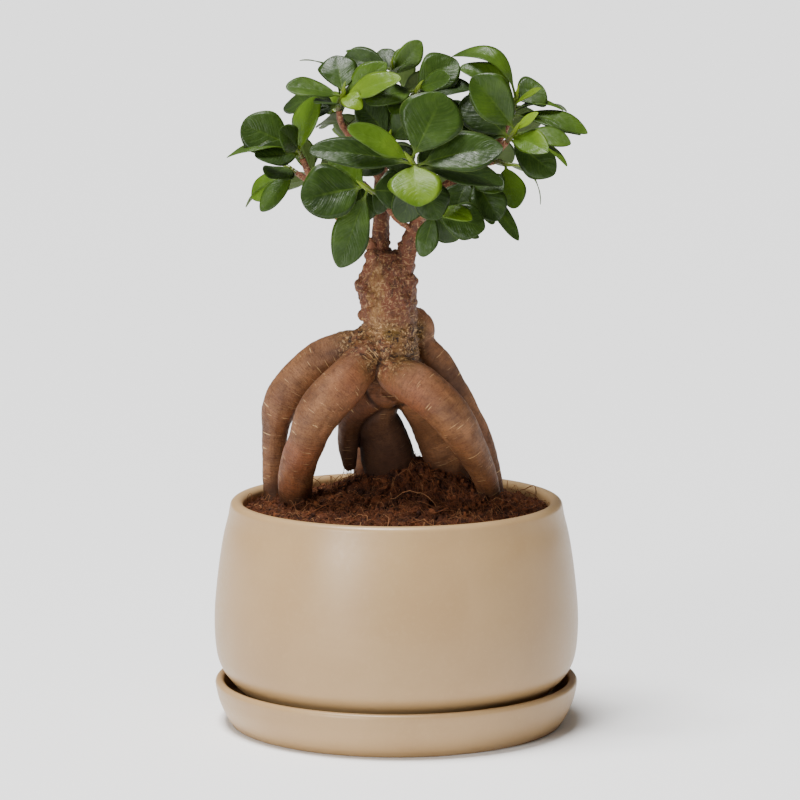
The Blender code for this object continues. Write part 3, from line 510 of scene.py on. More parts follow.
# the last four: how much and how high the bark darkens near the soil, and where the painted shade of the hollow
# behind the roots lies and how wide it is
wood = {"voxel": 0.835, "sides": 40, "perSpan": 8, "softening": 5, "plates": 1.1, "plateSize": 3.6,
        "folds": 1.05, "foldSize": 2.6, "crease": 0.7, "creaseWidth": 1.0, "collarReach": (19, 31),
        "collarSide": (13, 19), "darkNearSoilAndShade": 0.75, "darkRise": 12, "hollow": (-6, 22), "hollowSize": 18}
fineRelief = {"swells": (0.5, (16, 14, 14), 21), "wrinkles": (0.16, (9, 2, 2), 31),  # depth, size, seed
              "rings": (0.10, (1.6, 9, 9), 41)}
heights = {"collarFoot": (166, 186), "collarTop": (196, 208), "platesFoot": (198, 208),
           "platesTop": (236, 250), "creasesTop": (179, 188), "hollowTop": (150, 164)}
trunkLine = [(-3.4, 0, 168, 12.5), (-3.1, 0, 180, 14.2), (-3.0, 0, 190, 13.6), (-3.0, 0, 200, 12.9),
             (-3.8, 0, 208, 13.4), (-4.2, 0, 215, 14.4), (-3.9, 0, 222, 13.2), (-2.9, 0, 229, 11.4),
             (-2.4, 0, 234, 9.6)]
rootLines = {
    "farLeft": [(-12, 2, 188.5, 7.9), (-18, 4, 187.4, 8.3), (-25, 6, 185.3, 8.7), (-32, 7, 182.6, 8.9),
                (-39.3, 8, 178.6, 9.2), (-46.4, 8.5, 172.2, 9.4), (-51.5, 9, 165.9, 9.6),
                (-55.5, 10, 159.9, 9.2), (-58, 12, 153.2, 8.4), (-59.5, 14, 146, 7.2), (-60.6, 16, 136, 6.3),
                (-60.7, 18, 125, 6.2), (-60.5, 20, 112, 5.8), (-59, 20, 98, 4.9)],
    "frontLeft": [(-8, -3, 187, 8.0), (-14, -7, 183, 9.2), (-19, -12, 177.5, 9.8), (-24.6, -17, 171.8, 10.8),
                  (-31.4, -20, 165.3, 11.1), (-37.0, -21, 158, 11.1), (-41.0, -20, 150.6, 10.2),
                  (-43.9, -17, 142.7, 9.1), (-47.2, -12, 133.5, 9.0), (-49.3, -5, 123.4, 8.7),
                  (-50.0, 3, 110, 7.6), (-49, 5, 96, 6.2)],
    "frontRight": [(-4, -5, 178, 8.5), (0, -12, 175, 9.6), (6, -17, 172.5, 10.4), (12.5, -21, 168.7, 10.6),
                   (19.2, -23, 163.5, 10.4), (25.3, -23, 157, 10.0), (30.2, -21, 150, 9.3),
                   (34.6, -17, 142, 8.4), (38.6, -12, 134, 7.4), (42.6, -6, 125, 6.4), (46.2, 2, 111.7, 5.4),
                   (45.5, 5, 97, 4.6)],
    "farRight": [(3, 4, 201, 5.5), (8.5, 8, 199.5, 6.2), (12.4, 10, 195.5, 6.6), (12.6, 12, 188.3, 6.3),
                 (17.3, 13, 180.2, 6.9), (21.6, 13.5, 175, 7.1), (26.4, 14, 167, 7.2), (30.8, 14.5, 158.6, 7.2),
                 (35, 15, 150.4, 7.2), (38.8, 16, 142.4, 7.1), (42, 17, 134.4, 7.0), (44.8, 18.5, 125.4, 6.8),
                 (47, 20, 115, 6.4), (47.8, 21, 104, 5.8), (47.5, 22, 94, 4.8)],
    "innerRight": [(2, 2, 172, 8.0), (8, 7, 163, 9.2), (12.6, 12, 155, 10.0), (16.9, 17, 148, 10.6),
                   (20.4, 21.5, 140, 11.0), (23.6, 25, 131.5, 11.2), (27, 28, 122.5, 10.4),
                   (29.4, 30, 112, 9.4), (29.6, 31, 98, 7.4)],
    "middleBack": [(-6, 3, 172, 9.5), (-8.5, 8, 160, 9.6), (-9.6, 13, 150, 10.0), (-7.4, 17, 143, 11.0),
                   (-5.4, 21, 134.5, 12.6), (-4, 25, 126, 13.2), (-3, 28, 117, 12.2), (-2.6, 30, 108, 11.0),
                   (-2.5, 32, 97, 9.0)],
    "hanging": [(-5, 2, 166, 8.4), (-12, 5, 160, 8.4), (-18.6, 9, 154, 7.6), (-22.8, 13, 147, 6.4),
                (-24, 17, 138.5, 5.3), (-23.6, 20, 129, 4.3), (-23.2, 22, 122.5, 3.0)],
    "rear": [(-3, 6, 184, 8.5), (-4, 20, 181.5, 8.8), (-6, 34, 173.5, 8.6), (-9, 45, 160, 8.4),
             (-12, 52, 144, 8.0), (-14, 56, 128, 7.4), (-15, 57, 112, 6.8), (-15, 57, 98, 5.4)],
}
leaderLines = {
    "leftLeader": [(-5.0, 1, 224, 7.0), (-8.2, 3, 236, 4.7), (-7.6, 5, 246, 4.3), (-7.6, 6, 256, 4.1),
                   (-7.6, 8, 268, 3.7), (-6, 7, 283, 3.1), (-3.5, 4, 299, 2.3)],
    "rightLeader": [(1.0, -2, 222, 6.0), (5.2, -6, 235, 4.4), (7.8, -8, 243, 3.8), (11.0, -10, 250.5, 3.2),
                    (13.4, -12, 257.4, 2.6), (16.0, -14, 261.6, 2.2)],
}
burls = [  # x, y, z and radius
    (-17.2, -3, 217, 3.4), (5.4, -5, 219, 4.9), (-12.5, -9.5, 212, 5.0), (3.5, -9.5, 210, 4.8),
    (-15.8, -2, 203, 2.6), (-9.0, 10.5, 216, 5.2), (3.0, 10.0, 212, 5.0), (4.0, -3.5, 228, 4.6),
    (-11.2, -3.0, 231, 4.4), (-3.5, -12.0, 193, 3.4)]


def tube(line, sides, perSpan):  # circles of the line's own radius, square to a curve through its points
    path = throughPoints(line, perSpan)
    return rings(path[:, :3], path[:, 3], *sidesAlong(path[:, :3])[1:], sides), path


def swollen(grid, path, factor):  # a tube's points, moved out from its middle line by a factor
    middle = path[:, None, :3]
    return middle + (grid - middle) * factor


def lump(x, y, z, radius):  # a ball: a half circle turned, open by a little at its poles
    fall = np.linspace(0.06, math.pi - 0.06, 14)[::-1]
    return skin(np.array((x, y, z)) + radius * turned(np.stack([np.sin(fall), np.cos(fall)], -1), 20))


def unbend(points, lines):
    # for each point the nearest line by distance less its radius; then the way along it and the two sideways,
    # and by how much the second nearest line is farther off, which is nothing in a crease between two roots
    paths = [throughPoints(line, 6) for line in lines]
    centres, radii = np.vstack(paths)[:, :3], np.vstack(paths)[:, 3]
    ways = np.concatenate([np.stack(sidesAlong(path[:, :3]), 1) for path in paths])
    along = np.concatenate([distanceAlong(path[:, :3]) + 400.0 * k for k, path in enumerate(paths)])
    starts = np.cumsum([0] + [len(path) for path in paths[:-1]])
    nearest, margin = [], []
    for some in np.array_split(points, max(1, len(points) // 4000)):
        depth = np.linalg.norm(some[:, None] - centres[None], axis=2) - radii[None]
        nearest.append(np.argmin(depth, axis=1))
        each = np.sort(np.minimum.reduceat(depth, starts, axis=1), axis=1)
        margin.append(each[:, 1] - each[:, 0] if len(starts) > 1 else np.full(len(some), 99.0))
    nearest = np.concatenate(nearest)
    place = np.sum((points - centres[nearest])[:, None] * ways[nearest], axis=2)
    place[:, 0] += along[nearest]
    return place, np.concatenate(margin)


def evaluated(mesh, prepare):  # the mesh that an object's modifiers make, with its points and normals
    holder = addObject("holder", mesh)
    prepare(holder)
    bpy.context.view_layer.update()
    made = bpy.data.meshes.new_from_object(holder.evaluated_get(bpy.context.evaluated_depsgraph_get()))
    bpy.data.objects.remove(holder)
    bpy.data.meshes.remove(mesh)
    points, normals = np.empty((2, len(made.vertices) * 3))
    made.vertices.foreach_get("co", points)
    made.vertices.foreach_get("normal", normals)
    return made, points.reshape(-1, 3) / mm, normals.reshape(-1, 3)


def growTogether(holder):  # one skin over all tubes, its points moved halfway to their neighbours' mean
    remesh = holder.modifiers.new("grow", "REMESH")
    remesh.mode = "VOXEL"
    remesh.voxel_size = wood["voxel"] * mm
    soften = holder.modifiers.new("soften", "SMOOTH")
    soften.factor = 0.5
    soften.iterations = wood["softening"]


def barkZones(points, margin):
    # creases are a bell over the margin between two roots, cut in and painted as shade; the collar fades by
    # height and by distance from its middle; darkening is strongest at the soil, and the hollow behind the
    # roots is painted shade
    x, y, z = points.T
    crease = np.exp(-(margin / wood["creaseWidth"]) ** 2) * (1 - ease(z, *heights["creasesTop"]))
    collar = ease(z, *heights["collarFoot"]) * (1 - ease(z, *heights["collarTop"]))
    collar *= 1 - ease(np.hypot(x + 3, y), *wood["collarReach"])
    collar *= 1 - ease(x + 0.5 * y, *wood["collarSide"])
    # painted shade: a dark hollow behind the roots, fading out above its top
    hollow = np.hypot(x - wood["hollow"][0], y - wood["hollow"][1]) / wood["hollowSize"]
    hollow = np.exp(-0.5 * hollow**4) * (1 - ease(z, *heights["hollowTop"]))
    # darker near the soil, fading out higher up
    nearSoil = wood["darkNearSoilAndShade"] * (1 - ease(z - soilHeight(x, y), 0, wood["darkRise"]))
    return {"crease": crease, "collar": collar, "darkNearSoilAndShade": np.maximum(nearSoil, hollow)}


def barkRelief(points, along, zones):
    # swells, wrinkles and rings as noises stretched along the roots, broken plates from the size of a noise
    # on the upper trunk, folds at the collar, less a cut in every crease
    upper = ease(points[:, 2], *heights["platesFoot"]) * (1 - ease(points[:, 2], *heights["platesTop"]))
    fine = sum(depth * layeredNoise(along / size, 1.0, seed, 2) for depth, size, seed in fineRelief.values())
    plates = 1.6 * np.abs(layeredNoise(points * (1, 1, 0.62) / wood["plateSize"], 1.0, 51, 3)) - 0.45
    plates = wood["plates"] * (plates + 0.6 * layeredNoise(points / 8.0, 1.0, 61, 2))
    folds = wood["folds"] * layeredNoise(points * (0.6, 0.6, 1.5) / wood["foldSize"], 1.0, 71, 3)
    lift = fine * (1 - 0.6 * upper) + plates * upper + folds * zones["collar"]
    return lift - wood["crease"] * zones["crease"]


bark = {"patches": 55, "reds": 30, "mottle": 210, "pits": 1250, "cracks": 420, "speckles": 760,
        "crowds": 110, "flakes": 380, "flecks": 620,  # how fine each pattern is
        "grain": (120, 520, 520), "wrinkles": (1900, 210, 210), "dashes": (1750, 98, 98),  # along and across
        "upperFrom": (0.203, 0.213), "stripeFoot": (0.190, 0.200), "stripeTop": (0.232, 0.226),  # in metres
        "stripeLeft": (-0.0092, -0.0072), "stripeRight": (-0.0002, -0.0022), "stripeFront": (-0.003, -0.007)}


def barkMaterial(name, lower, upper):
    # mottled brown bark with fine wrinkles and pale corky dashes across each root, painted shade in the
    # creases, a speckled golden collar with a tan stripe above it, and darker red flaky bark higher up; darker
    # near the soil, with painted shade in the hollow behind the roots
    made, tree, shader = newMaterial(name)
    where = onPiece(tree)
    spot = addNode("SeparateXYZ", {"Vector": where}).outputs
    crease, darkNearSoilAndShade, olive = (read(tree, key) for key in ("crease", "darkNearSoilAndShade", "collar"))
    patch = noise(where, bark["patches"], 4, 0.6, 0.3)
    red = noise(where, bark["reds"], 2, 0.5)
    mottle = noise(where, bark["mottle"], 4, 0.65, 0.4)
    pits = noise(where, bark["pits"], 4, 0.7)
    cracks = noise(where, bark["cracks"], 4, 0.7, 0.9)
    speckle = noise(where, bark["speckles"], 2, 0.6, 0.8)
    rare = noise(where, bark["crowds"], 2, 0.5)
    grain = noise(alongPiece(tree, bark["grain"]), 1.0, 4, 0.65)
    wrinkles = noise(alongPiece(tree, bark["wrinkles"]), 1.0, 3, 0.6)
    dash = noise(alongPiece(tree, bark["dashes"]), 1.0, 1.0, 0.4)
    flaky = noise(onPiece(tree, (1, 1, 0.55)), bark["flakes"], 5, 0.7, 0.6)
    fleck = noise(onPiece(tree, (1, 1, 0.3)), bark["flecks"], 3, 0.6)
    below = paint(lower["dark"], [(span(patch, 0.35, 0.64, 0.25, 1.0), lower["light"]),
                                  (span(red, 0.46, 0.68, 0, 0.75), lower["red"]),
                                  (span(mottle, 0.50, 0.70, 0, 0.45), lower["dark"]),
                                  (span(grain, 0.45, 0.75, 0, 0.30), lower["dark"]),
                                  (span(pits, 0.50, 0.66, 0, 0.55), lower["dark"]),
                                  (span(wrinkles, 0.50, 0.66, 0, 0.50), lower["dark"]),
                                  (times(olive, span(patch, 0.40, 0.60)), lower["olive"]),
                                  (times(olive, span(cracks, 0.50, 0.60)), lower["crease"])])
    above = paint(upper["dark"], [(span(flaky, 0.38, 0.54, 0.25, 1.0), upper["light"]),
                                  (span(patch, 0.60, 0.75, 0, 0.6), upper["tan"])])
    share = span(calculate("ADD", spot["Z"], times(patch, 0.012)), *bark["upperFrom"])
    across = calculate("ADD", spot["X"], times(mottle, 0.010))
    stripe = times(span(across, *bark["stripeLeft"]), span(across, *bark["stripeRight"]),
                   span(spot["Y"], *bark["stripeFront"]), span(spot["Z"], *bark["stripeTop"]),
                   span(spot["Z"], *bark["stripeFoot"]), span(fleck, 0.40, 0.62, 0.25, 1.0))
    golden = times(calculate("MAXIMUM", olive, times(share, 0.55)), span(speckle, 0.55, 0.62))
    crowd = calculate("ADD", span(rare, 0.35, 0.70, -0.030, 0.024), times(olive, 0.006))
    dashes = times(span(calculate("ADD", dash, crowd), 0.700, 0.735), span(share, 0.2, 1.0, 1.0, 0.45))
    pale = calculate("MAXIMUM", times(dashes, 0.9), times(golden, 0.65))
    # painted shade in the creases between roots, broken up by the mottle
    creaseShade = times(crease, span(mottle, 0.3, 0.6, 0.4, 0.9))
    # the last coat darkens the bark near the soil and paints shade into the hollow behind the roots
    colour = paint(below, [(share, above), (stripe, upper["stripe"]), (pale, lower["cork"]),
                           (creaseShade, lower["crease"]), (times(darkNearSoilAndShade, 0.92), lower["darkNearSoilAndShade"])])
    normal = emboss((mottle, 0.35, 0.7), (wrinkles, 0.75, 0.34), (pits, 0.70, 0.40),
                    (times(flaky, share), 0.8, 1.3), (pale, 0.6, 0.35))
    dull = calculate("MAXIMUM", span(mottle, 0.3, 0.7, 0.48, 0.68), darkNearSoilAndShade)
    connect(shader, colour, normal, dull)
    shader.inputs["Specular IOR Level"].default_value = 0.35
    return made


# the last two colours: the dark of the collar's cracks and of the painted shade in the creases, then the dark
# near the soil that is also the painted shade in the hollow behind the roots
rootBark = {"dark": (0.056, 0.019, 0.007), "light": (0.262, 0.112, 0.042), "red": (0.225, 0.071, 0.026),
            "olive": (0.135, 0.070, 0.012), "cork": (0.55, 0.34, 0.15), "crease": (0.018, 0.006, 0.003),
            "darkNearSoilAndShade": (0.022, 0.0065, 0.0016)}
trunkBark = {"dark": (0.028, 0.009, 0.004), "light": (0.125, 0.036, 0.013), "tan": (0.165, 0.062, 0.020),
             "stripe": (0.200, 0.098, 0.028)}

allLines = [trunkLine, *rootLines.values(), *leaderLines.values()]
tubes = [skin(tube(line, wood["sides"], wood["perSpan"])[0]) for line in allLines]
tubes += [lump(*burl) for burl in burls]
trunkMesh, trunkPoints, trunkNormals = evaluated(buildMesh("grownTrunk", tubes), growTogether)
trunkAlong, margin = unbend(trunkPoints, allLines)
zones = barkZones(trunkPoints, margin)
trunkPoints = trunkPoints + trunkNormals * barkRelief(trunkPoints, trunkAlong, zones)[:, None]
trunkMesh.vertices.foreach_set("co", (trunkPoints * mm).ravel())
storeAlong(trunkMesh, trunkAlong)
for key, values in zones.items():
    storeValues(trunkMesh, key, values)
trunkMesh.polygons.foreach_set("use_smooth", np.ones(len(trunkMesh.polygons), bool))
trunkMesh.materials.append(barkMaterial("bark", rootBark, trunkBark))
trunkMesh.update()
placePiece("rootstock", trunkMesh, "trunk")
print("rootstock grown:", len(trunkMesh.polygons), "faces")


# Rootlets: hairs that hang from the free root and from the undersides of the arches

rootlets = {"seed": 5, "steps": 8, "radius": 0.14, "wander": 0.42}
hairTufts = [  # place, spread, how many, and how long
    ((-23.4, 21.5, 124.5), 3.0, 12, (6, 13)), ((-28, 10, 150), 3.5, 5, (4, 8)),
    ((-46, -12, 134), 6.0, 6, (3, 6)), ((39, -11, 135), 6.0, 8, (3, 6)),
    ((31, 24, 128), 7.0, 8, (3, 7)), ((-2, 22, 130), 8.0, 8, (4, 8))]


def hangingHairs(chance):
    # each hair drops from a point near its root, and wanders sideways by a running sum of small steps
    starts, lengths = [], []
    for place, spread, count, reach in hairTufts:
        starts.append(np.array(place) + chance.normal(0, spread / 2, (count, 3)))
        lengths.append(chance.uniform(*reach, count))
    starts, lengths = np.vstack(starts), np.concatenate(lengths)
    count, steps = len(starts), rootlets["steps"]
    t = np.linspace(0, 1, steps)[None, :]
    walk = np.cumsum(chance.normal(0, rootlets["wander"], (count, steps, 3)), axis=1)
    walk *= (lengths / 9)[:, None, None]
    walk[..., 2] = walk[..., 2] * 0.4 - t * lengths[:, None]
    thin = np.tile(rootlets["radius"] * (1 - 0.7 * t), (count, 1))
    part = hairTubes(starts[:, None] + walk, thin, np.array([0.93, 0.31, 0.17]))
    part["values"] = {"shade": np.repeat(chance.uniform(0, 0.6, count), steps * 4)}
    return part


hairs = hangingHairs(np.random.default_rng(rootlets["seed"]))
placeParts("rootlets", [hairs], [coirFibre])
print("rootlets hung")


# Leafy shoots. A point of a twig is x, y, z and radius. A leaf row is: place up the stem, way to its tip,
# width, the way its face looks, how far it bows, how far it folds unless that is the usual 0.14, and its tone
# from dark (0) to bright (1): partly the leaf's age, from old to young, and partly painted light and shade,
# as each leaf was made brighter or darker for how lit, shaded or sheened it looks

shoots = {
    "shoot_front": {
        "twig": [(15.0, -14, 261, 2.1), (17, -23, 265, 1.9), (15.5, -34, 270, 1.7), (11.5, -43, 276, 1.5)],
        "apex": (7, -52, 283), "leaves": [
            (1.0, (15.5, 8, 31), 31, (0, -1, 0.2), 0.03, 0.10, 0.30),
            (0.8, (-49, -6, 6), 17, (0, -0.80, 0.60), 0.06, 0.20, 0.15),
            (1.0, (-30, -7, 16), 14.5, (0.1, -0.8, 0.6), 0.06, 0.20, 0.66),
            (0.8, (43, 3, 6.8), 22, (0, -0.80, 0.60), 0.06, 0.22),
            (0.9, (2.8, -17, -20), 26, (0.05, -0.85, 0.52), 0.09, 0.12, 0.74),
            (0.5, (42, 10, -9), 20, (0.1, -0.6, 0.8), 0.05, 0.12),
            (0.3, (10, -2, -24), 19, (0.3, -1, 0.1), 0.05, 0.12),
            (0.15, (-8, 2, -25), 16, (-0.1, -1, 0.1), 0.04, 0.10)]},
    "shoot_front_left": {
        "twig": [(8.4, -9, 245, 1.6), (0.5, -15, 251, 1.4), (-4.5, -20, 257.5, 1.3), (-8, -27, 262.5, 1.3)],
        "apex": (-15, -38, 269), "leaves": [
            (1.0, (-30.4, -8, -5.5), 28, (0, -0.95, 0.3), 0.05, 0.26, 0.18),
            (1.0, (-16.7, 3, 13.5), 17, (0.2, -0.9, 0.4), 0.05, 0.45),
            (0.9, (-13, -4, -38), 18.5, (0, -1, 0.05), 0.03, 0.33),
            (0.9, (18, 8, -3.5), 21, (0.1, -0.88, 0.40), 0.05, 0.10),
            (0.6, (8, 6, -9), 13, (0.3, -1, 0.2), 0.04, 0.10)]},
    "shoot_left": {
        "twig": [(-40.5, -11.5, 268, 1.8), (-43.6, -13, 276, 1.6), (-45.5, -14, 280.5, 1.5)],
        "apex": (-48, -16, 285.5), "leaves": [
            (1.0, (-26.5, -2, 12), 22.5, (-0.2, -0.88, 0.42), 0.05, 0.26),
            (0.9, (-33.8, -10, -3.2), 14, (0, -0.12, 1), 0.13, 0.10, 0.55),
            (0.5, (-21, -13, -0.5), 17, (-0.1, -0.8, 0.6), 0.04, 0.12),
            (1.0, (-8, -14, 10), 15, (0.1, -0.88, 0.45), 0.08, 0.20, 0.30),
            (0.8, (10, -3, 26), 19, (-0.7, -0.65, 0.3), 0.12, 0.20, 0.62)]},
    "shoot_left_low": {
        "twig": [(-40.5, -11.5, 268, 1.6), (-44.5, -8.5, 270.5, 1.5), (-48, -6, 272.5, 1.4)],
        "apex": (-52, -4, 275), "leaves": [
            (1.0, (-9, -18, -3.5), 16, (0, -0.6, 0.8), 0.08, 0.20),
            (1.0, (-18.6, 4, -15), 14, (-0.6, -0.8, 0.2), 0.06, 0.72),
            (0.8, (-14.5, -7, -20), 11.5, (-0.4, -0.9, 0.2), 0.04, 0.38),
            (0.9, (-22, 12, -20), 10, (-0.5, 0.1, 0.8), 0.08, 0.60)]},
    "shoot_upper_left": {
        "twig": [(-7.6, 7.5, 268, 2.2), (-14.5, 0, 279, 1.9), (-21, -8, 289, 1.7), (-26.5, -14, 297.5, 1.6),
                 (-27.6, -17, 304, 1.5)],
        "apex": (-25.6, -22, 312), "leaves": [
            (1.0, (-3.4, 13, 18), 19.5, (0.12, -0.97, 0.20), 0.06, 0.20),
            (1.0, (-27.4, -4, 3.8), 15, (0, -0.55, 0.85), 0.04, 0.42),
            (0.8, (-21, 20, 16.5), 9, (0, 0.25, 1), 0.26, 0.45),
            (0.6, (-12, -14, -0.5), 12, (0, -0.3, 0.95), 0.08, 0.20),
            (1.0, (9, -8, -6.5), 11, (0.3, -0.9, 0.35), 0.24, 0.20, 0.92),
            (1.0, (28, -6, 8), 15, (0, -0.68, 0.73), 0.07, 0.24, 0.76),
            (1.0, (21, 3, 15), 14, (-0.1, -0.85, 0.5), 0.06, 0.55),
            (0.3, (-27.5, 25, -2), 17, (0, -0.72, 0.70), 0.08, 0.20),
            (0.1, (-22, 8, -5), 14, (-0.1, -0.7, 0.7), 0.06, 0.12)]},
    "shoot_top": {
        "twig": [(-3.9, 4.6, 297, 2.0), (-3.2, 0, 307, 1.7), (-2.6, -5, 315, 1.5)],
        "apex": (-2, -11, 323), "leaves": [
            (1.0, (-23.5, 6, 5.5), 16, (0, -0.86, 0.5), 0.07, 0.16),
            (0.7, (-22, 14, 11), 12, (0, -0.1, 1), 0.08, 0.50),
            (1.0, (-5, 12, 9.5), 12, (0, -0.75, 0.66), 0.05, 0.26),
            (1.0, (10, 9, 9.5), 11, (-0.2, -0.8, 0.5), 0.05, 0.55),
            (1.0, (14, 1, 14), 12, (0.2, -0.95, 0.25), 0.04, 0.45),
            (0.8, (6, -13, 5), 9, (0, -0.6, 0.8), 0.06, 0.25)]},
    "shoot_top_right": {
        "twig": [(-4.2, 5, 295, 1.9), (2, -4, 304, 1.6), (6.5, -11, 309, 1.5)],
        "apex": (10, -17, 314), "leaves": [
            (1.0, (16, -9, 6), 13, (0, -0.8, 0.6), 0.05, 0.36),
            (0.8, (20, 10, 14.5), 21, (0, -0.90, 0.40), 0.06, 0.28),
            (0.9, (-24, -11, -5.5), 19, (0, -0.6, 0.8), 0.08, 0.40),
            (0.8, (27, 3, 1.5), 16, (0, -0.55, 0.85), 0.05, 0.16),
            (0.5, (-10, -12, -9), 13, (-0.2, -0.7, 0.7), 0.06, 0.30)]},
    "shoot_right_top": {
        "twig": [(43, -7.6, 277.8, 1.8), (50, -3, 288, 1.6), (55, -1.5, 298, 1.5)],
        "apex": (58, 0, 308), "leaves": [
            (1.0, (-31, 5, 20.5), 14, (-0.1, -0.45, 0.9), 0.36, 0.18, 0.48),
            (0.9, (-27, -7, 17), 15, (0, -0.7, 0.7), 0.24, 0.18, 0.40),
            (1.0, (13.5, 6, 6), 19.5, (0.1, -0.8, 0.6), 0.06, 0.34),
            (1.0, (12, -10, 6), 7, (0, -0.6, 0.8), 0.04, 0.92),
            (0.9, (23.5, 1, -4.5), 10, (0.3, -0.15, 0.95), 0.15, 0.55),
            (0.8, (26, 15, -5), 11, (0.3, 0, 0.95), 0.15, 0.55),
            (0.6, (36, -7, -12), 16, (0.3, -0.55, 0.8), 0.10, 0.50),
            (0.3, (34, 4, -10.5), 14, (0.3, -0.3, 0.9), 0.06, 0.25)]},
    "shoot_right": {
        "twig": [(43, -7.6, 277.8, 1.8), (49, -14, 284, 1.6), (53.5, -21, 289.5, 1.5)],
        "apex": (57, -28, 295), "leaves": [
            (1.0, (-21, -4, 26), 22, (0.2, -0.95, 0.3), 0.05, 0.26, 0.36),
            (0.6, (-23.5, 9, 17), 21, (0.1, -0.9, 0.4), 0.05, 0.10),
            (1.0, (11, -4, 9), 6, (0.2, -0.6, 0.7), 0.05, 1.00),
            (0.9, (27, -5, -5.5), 15, (0.2, -0.6, 0.8), 0.08, 0.48),
            (0.8, (25, -14, -15), 10, (0.4, -0.2, 0.9), 0.12, 0.65),
            (0.8, (16, -17, -8), 14, (0, -0.85, 0.5), 0.06, 0.60),
            (0.2, (22, -2, -17), 19, (0.3, -0.9, 0.25), 0.05, 0.18),
            (0.1, (-29, 6, 9), 16, (0, -0.9, 0.45), 0.05, 0.12)]},
    "shoot_right_low": {
        "twig": [(43, -7.6, 277.8, 1.7), (47.5, -8.5, 278.4, 1.5)],
        "apex": (52.5, -10, 277.5), "leaves": [
            (1.0, (4.5, -8, -21), 14.5, (0.4, -0.9, 0.1), 0.05, 0.18, 0.50),
            (1.0, (17.5, 2, -20), 8, (0.75, -0.1, 0.6), 0.24, 0.55),
            (0.4, (18, 20, -8), 15, (0.4, 0.4, 0.8), 0.06, 0.30)]},
    "shoot_front_low": {
        "twig": [(11.2, -10.4, 251, 1.8), (14, -18, 253.5, 1.5), (16, -26, 255, 1.4)],
        "apex": (19.5, -34, 256.5), "leaves": [
            (0.8, (-6.5, -5, -21), 11.5, (-0.2, -1, 0.05), 0.03, 0.26),
            (1.0, (16.6, -13, -2.5), 11, (0.1, -0.75, 0.65), 0.14, 0.78),
            (1.0, (23, -5, -7.5), 19, (0.1, -0.92, 0.35), 0.05, 0.26),
            (0.7, (11, 4, -14), 14, (0.2, -1, 0.1), 0.03, 0.20),
            (0.6, (22, 10, -13), 12, (0.5, -0.5, 0.6), 0.05, 0.35)]},
    "shoot_inner_right": {
        "twig": [(19.5, -13, 264.6, 1.8), (25, -15.5, 268, 1.6), (31, -18, 270.5, 1.5)],
        "apex": (37, -22, 272), "leaves": [
            (1.0, (12, -9, -20), 18, (0.1, -0.95, 0.25), 0.05, 0.20),
            (0.8, (-8, -8, -17), 17, (-0.1, -0.95, 0.2), 0.05, 0.15),
            (1.0, (14, -14, -5), 15, (0.1, -0.8, 0.6), 0.06, 0.25),
            (0.7, (24, 2, -30.5), 11.5, (0.7, -0.6, 0.3), 0.05, 0.40),
            (0.5, (13, -1, -22), 12, (0.7, -0.6, 0.2), 0.05, 0.30)]},
    "shoot_middle": {
        "twig": [(-6.4, 7, 280, 2.0), (-5.5, 0, 284, 1.7), (-4.5, -5, 286.5, 1.5)],
        "apex": (-3.5, -10, 290), "leaves": [
            (1.0, (-15, -6, 18.5), 18, (0, -0.88, 0.45), 0.05, 0.12),
            (1.0, (1, 0, 20), 15, (0, -0.9, 0.4), 0.05, 0.10),
            (1.0, (15, -8, 14), 18, (0, -0.9, 0.4), 0.05, 0.15),
            (0.8, (-18, -8, -3), 16, (0, -0.8, 0.6), 0.06, 0.18),
            (0.6, (9, -12, -14), 16, (0, -0.9, 0.4), 0.05, 0.12)]},
    "shoot_middle_left": {
        "twig": [(-7.8, 6.4, 259, 1.9), (-12, 0, 263, 1.7), (-16, -7, 267.5, 1.5)],
        "apex": (-20, -14, 272), "leaves": [
            (0.9, (-14, -6, -9), 17, (-0.2, -0.9, 0.3), 0.05, 0.12),
            (0.8, (11, 0, 12), 16, (0, -0.85, 0.5), 0.05, 0.15),
            (0.4, (2, -6, -20), 16, (0, -1, 0.1), 0.05, 0.15),
            (0.2, (-8, 3, -17), 14, (-0.3, -0.9, 0.2), 0.05, 0.20)]},
    "shoot_middle_right": {
        "twig": [(28, -8, 269.5, 1.9), (28, -10, 277, 1.7), (27.5, -12, 284, 1.5)],
        "apex": (26.5, -12.5, 290), "leaves": [
            (1.0, (-7, -1, 21), 18, (0, -0.9, 0.4), 0.05, 0.12),
            (1.0, (4, 9, 18), 18, (0.1, -0.9, 0.4), 0.05, 0.14),
            (0.8, (15, -2, 6), 14, (0, -0.7, 0.7), 0.05, 0.12),
            (0.8, (-18, 4, 7), 17, (0, -0.85, 0.5), 0.05, 0.12),
            (0.5, (-15, -6, -11), 17, (-0.1, -0.9, 0.3), 0.05, 0.12)]},
}
